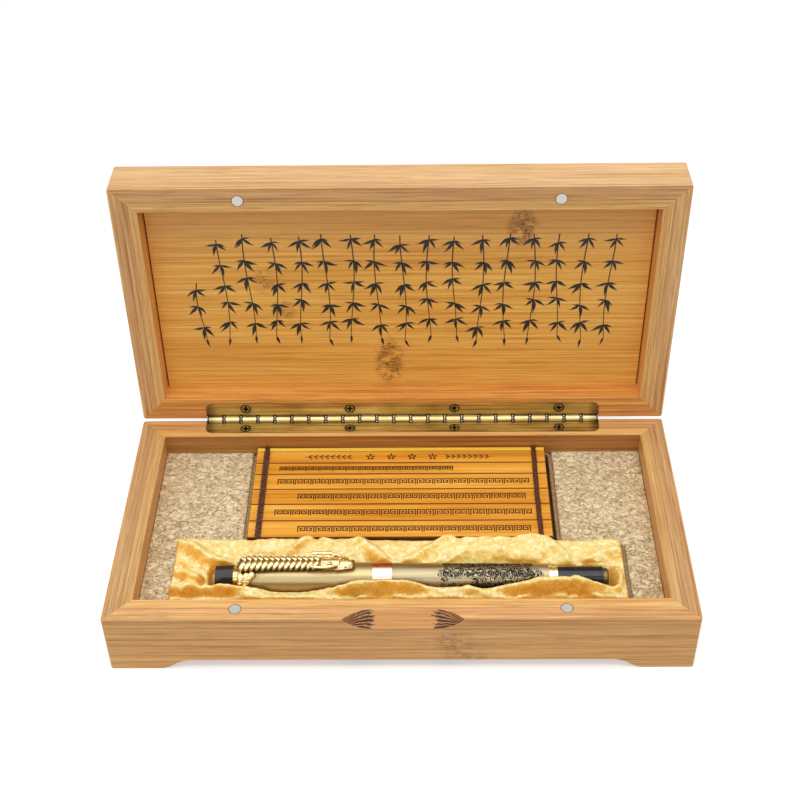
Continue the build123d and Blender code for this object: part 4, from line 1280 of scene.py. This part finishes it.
# One strand of the braid: distance along, shares of the half width and half height, and radius
strand_course = (
    (2.5, 0.06, 0.88, 0.45), (1.8, 0.38, 0.84, 0.84), (1.0, 0.72, 0.52, 0.9), (0.4, 0.9, 0.05, 0.72),
    (0.1, 0.82, -0.4, 0.34),
)
first_coil_angle = 24
# The coils at the root: start, lean along the pen for each step, and degrees for each step
root_coil_forms = ((1.5, -0.1, 13.5), (3.9, -0.25, 11.0), (6.1, -0.5, 8.0))
coil_radii = (1.25, 1.3, 1.2, 1.05, 0.85, 0.5)
scale_radii = (0.14, 0.26, 0.32, 0.26, 0.14)
ridge_radii = (0.12, 0.22, 0.27, 0.22, 0.12)
horn_radii = (0.55, 0.68, 0.64, 0.56, 0.46, 0.2)


def clip_point(root, at, side, up):
    """A place on the clip from its distance along in mm, and shares of its half width and half height."""
    rise, half_width, half_height = clip_sections[-1][1:]
    for (a, *low), (b, *high) in zip(clip_sections, clip_sections[1:]):
        if at <= b:
            share = smooth_step((at - a) / (b - a))
            rise, half_width, half_height = (p + (q - p) * share for p, q in zip(low, high))
            break
    return Vector((
        root + at * mm, pen_axis.y + side * half_width * mm, pen_axis.z + (rise + up * half_height) * mm,
    ))


def clip_ring(root, at, wide, tall):
    """A ring round the clip, at shares of its half width and half height."""
    return [clip_point(root, at, math.cos(angle) * wide, math.sin(angle) * tall) for angle in round_angles(16)]


def clip_tube(shape, root, places, radii, squash=1.0, sides=8):
    """A tube through places on the clip."""
    points = [clip_point(root, *place) for place in places]
    shape.tube(points, [radius * mm for radius in radii], sides, squash)


def serpent_clip():
    """A braided serpent with a horned head, curling down to the cap at its root."""
    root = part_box("clip")[0].x
    core = Shape()
    stations = [clip_length * t for t in even_steps(core_stations)]
    shares = [0.78 if at < braid_end else 0.9 for at in stations]
    core.rings([clip_ring(root, at, share, share) for at, share in zip(stations, shares)])
    # The core shows only between the braid's strands, in a darker colour than the braid.
    core.piece("clip_core", "pen_clip", metal("dark_core_metal", (138, 112, 62), 0.35), "gold")
    shape = Shape()
    for n in range(int(braid_end / strand_pitch)):
        foot = 0.8 + n * strand_pitch
        for side in (-1, 1):
            places = [(foot + at, side * across, up) for at, across, up, _ in strand_course]
            clip_tube(shape, root, places, [radius for *_, radius in strand_course], 0.55)
    # The broad smooth top of the head, blunt at its end
    shape.rings([clip_ring(root, snout_start + snout_length * n / 14, 0.9, 0.92) for n in range(15)])
    head(shape, root)
    root_coils(shape, root)
    shape.piece("serpent_clip", "pen_clip", clip_gold(), "gold", replaces=["clip"])


def head(shape, root):
    """The serpent's head: brows round the stones, horns swept back, and a ridged snout."""
    low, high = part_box("clip_stones")
    eye = ((low.x + high.x) / 2 - root) / mm
    end = clip_length
    for side in (-1, 1):
        angles = [math.pi * (0.05 + 1.1 * t) for t in even_steps(8)]
        brow = [(eye - 1.55 * math.cos(a), side * (0.38 + 0.5 * math.sin(a)), 1.02) for a in angles]
        clip_tube(shape, root, brow, [0.3] * 3 + [0.42] * 3 + [0.28] * 3)
        horn = (
            (-0.4, 0.85, 0.8), (-2.2, 1.05, 0.95), (-4.8, 1.2, 1.0), (-7.6, 1.2, 1.05), (-9.6, 1.05, 1.1),
            (-10.0, 0.85, 1.05),
        )
        clip_tube(shape, root, [(eye + at, side * across, up) for at, across, up in horn], horn_radii)
        ear = ((eye - 1.6, side * 0.5, 0.95), (eye - 3.2, side * 0.6, 1.12), (eye - 5.0, side * 0.5, 1.05))
        clip_tube(shape, root, ear, (0.55, 0.5, 0.15), 0.6)
        nostril = ((end - 2.6, side * 0.55, 0.85), (end - 1.5, side * 0.7, 0.8), (end - 0.7, side * 0.5, 0.5))
        clip_tube(shape, root, nostril, (0.28, 0.42, 0.3))
        jaw = ((eye - 0.5, side * 0.98, 0.0), (eye + 2.2, side * 0.98, -0.05), (end - 0.8, side * 0.9, 0.0))
        clip_tube(shape, root, jaw, (0.4, 0.36, 0.25))
    for n in range(5):
        at = eye + 1.6 + 0.72 * n
        across = [(at, side, 0.98 - 0.35 * side * side) for side in (-0.6, -0.3, 0.0, 0.3, 0.6)]
        clip_tube(shape, root, across, ridge_radii, sides=6)


def cap_radius(tree, x):
    """The cap's radius at a place along it, found from its near side."""
    start = Vector((x, pen_axis.y - 20 * mm, pen_axis.z))
    hit = tree.ray_cast(start, Vector((0, 1, 0)))[0]
    return 5 * mm if hit is None else pen_axis.y - hit.y


def root_coils(shape, root):
    """Three scaled folds at the clip's root, curling down the near side of the cap."""
    tree = surface_tree("cap_shell")
    for start, lean, turn in root_coil_forms:
        points = []
        for n, radius in enumerate(coil_radii):
            angle = math.radians(first_coil_angle + turn * n)
            x = root + (start + lean * n) * mm
            out = cap_radius(tree, x) + (radius + 0.25) * mm
            points.append(round_pen(x, angle, out))
        shape.tube(points, [radius * mm for radius in coil_radii], 10)
        for a, b, radius in zip(points, points[1:], coil_radii):
            middle = (a + b) / 2
            outward = (middle - Vector((middle.x, pen_axis.y, pen_axis.z))).normalized()
            ring = [
                middle + Vector((across * mm, 0, 0)) + outward * (radius * 0.92 - abs(across) * 0.35) * mm
                for across in (-0.9, -0.45, 0, 0.45, 0.9)
            ]
            shape.tube(ring, [radius * mm for radius in scale_radii], 6)


def clip_gold():
    """Gold plate, darkened in its hollows."""
    g = Graph("clip_gold")
    cloud = g.noise(g.place(), 900)
    worn = g.mix(g.span(cloud, 0.4, 0.6), (228, 206, 146), (250, 238, 192))
    colour = g.mix(g.span(g.node("NewGeometry", "Pointiness"), 0.5, 0.45, 0, 0.97), worn, (56, 46, 24))
    return g.finish(Base_Color=colour, Metallic=1.0, Roughness=g.span(cloud, 0.3, 0.7, 0.18, 0.3))


# Barrel scrollwork

scroll_start = 15.0 * mm
scroll_end = 52.0 * mm
scroll_rows = 7
scroll_columns = 8
scroll_height = 0.035 * mm
scroll_radius = 5.4 * mm
barrel_radii = (5.65 * mm, 5.2 * mm)


def barrel_surface(u, v, h):
    """A place on the barrel from its distance along the box, and round it from its top."""
    share = (u - barrel_low.x) / (barrel_high.x - barrel_low.x)
    out = between(*barrel_radii, share) + h
    return round_pen(u, v / scroll_radius, out)


def cloud_scroll(shape, u, v, size, turn, flip, rng):
    """A cloud head: two spirals that meet in a tail."""
    c, s = math.cos(turn), math.sin(turn)

    def turned(x, y):
        return u + (x * c - y * s), v + flip * (x * s + y * c)

    for hand in (-1, 1):
        points, widths = [], []
        for t in even_steps(20):
            angle = t * 3.6 * math.pi
            radius = size * (0.08 + 0.42 * t)
            x = hand * size * 0.46 + math.cos(angle * hand) * radius * hand
            points.append(turned(x, math.sin(angle) * radius))
            widths.append(size * (0.11 + 0.09 * math.sin(t * math.pi)))
        shape.stroke(points, widths, barrel_surface, scroll_height)
    tail, widths = [], []
    for t in even_steps(8):
        y = size * (0.62 + 0.3 * math.sin(t * math.pi * 1.5 + rng.uniform(-0.2, 0.2)))
        tail.append(turned(-size * 0.9 + size * 2.1 * t, y))
        widths.append(size * (0.05 + 0.15 * math.sin(t * math.pi)))
    shape.stroke(tail, widths, barrel_surface, scroll_height)


def barrel_scrollwork():
    """Black enamel cloud scrolls all round the barrel."""
    rng = random.Random(7)
    shape = Shape()
    around = 2 * math.pi * scroll_radius
    pitch = (scroll_end - scroll_start) / (scroll_columns + 0.6)
    for row in range(scroll_rows):
        for column in range(scroll_columns):
            u = scroll_start + (column + 0.5 + 0.4 * (row % 2)) * pitch
            v = (row + 0.5) * around / scroll_rows + rng.uniform(-0.3, 0.3) * mm
            size = rng.uniform(1.9, 2.6) * mm
            cloud_scroll(shape, u, v, size, rng.uniform(-0.5, 0.5), rng.choice((-1, 1)), rng)
    g = Graph("enamel")
    cloud = g.noise(g.place(), 700)
    colour = g.mix(g.span(cloud, 0.35, 0.65), (20, 18, 16), (42, 36, 28))
    enamel = g.finish(Base_Color=colour, Roughness=0.4, Specular_IOR_Level=0.15)
    shape.piece("barrel_scrollwork", "pen_barrel", enamel, "black_gloss", smooth=False)


# Lights and surroundings

light_target = Vector((0, 0, 0.04))
# Soft panels of light: place, size and power
lights = {
    "top_light": ((0.0, -0.05, 0.95), (1.1, 0.8), 4.4),
    "front_light": ((-0.15, -1.0, 0.65), (0.9, 0.6), 1.6),
    "left_light": ((-0.95, -0.1, 0.55), (0.6, 0.6), 1.7),
    "strip_light": ((0.0, -0.32, 0.85), (0.9, 0.03), 0.8),
    "right_light": ((0.95, -0.2, 0.55), (0.6, 0.6), 1.3),
}
ambient_level = 0.42
floor_half = 3.0
near_glow = 0.4


def add_lights():
    for name, (place, size, power) in lights.items():
        data = bpy.data.lights.new(name, "AREA")
        data.shape = "RECTANGLE"
        data.size, data.size_y = size
        data.energy = power
        aim = (light_target - Vector(place)).to_track_quat("-Z", "Y")
        add_object(name, data, Matrix.Translation(place) @ aim.to_matrix().to_4x4())


def add_world():
    """An even pale room that shows as white."""
    g = Graph("studio", world=True)
    bpy.context.scene.world = g.finish(
        Color=(1, 1, 1, 1), Strength=g.seen() * (1 - ambient_level) + ambient_level,
    )


def add_floor():
    """A pale floor that keeps a faint shadow, and shines white away from the box."""
    g = Graph("studio_floor")
    far = g.span(g.vector_math("LENGTH", g.place()), 0.16, 0.5)
    material = g.finish(
        Base_Color=g.mix(far, (0.82, 0.82, 0.82, 1), (0, 0, 0, 1)),
        Roughness=0.9,
        Specular_IOR_Level=0.0,
        Emission_Color=(1, 1, 1, 1),
        Emission_Strength=g.seen() * (far * (1 - near_glow) + near_glow),
    )
    mesh = bpy.data.meshes.new("floor")
    corners = [(x * floor_half, y * floor_half, 0) for x, y in ((-1, -1), (1, -1), (1, 1), (-1, 1))]
    mesh.from_pydata(corners, [], [(0, 1, 2, 3)])
    mesh.materials.append(material)
    add_object("floor", mesh)


add_camera()
add_world()
add_floor()
add_lights()
dress_wood()
dress_hardware()
dress_pen()
dress_slips()
slip_ornament()
cords()
lid_ornament()
satin_lining()
serpent_clip()
barrel_scrollwork()
bpy.context.scene.view_settings.view_transform = "Standard"
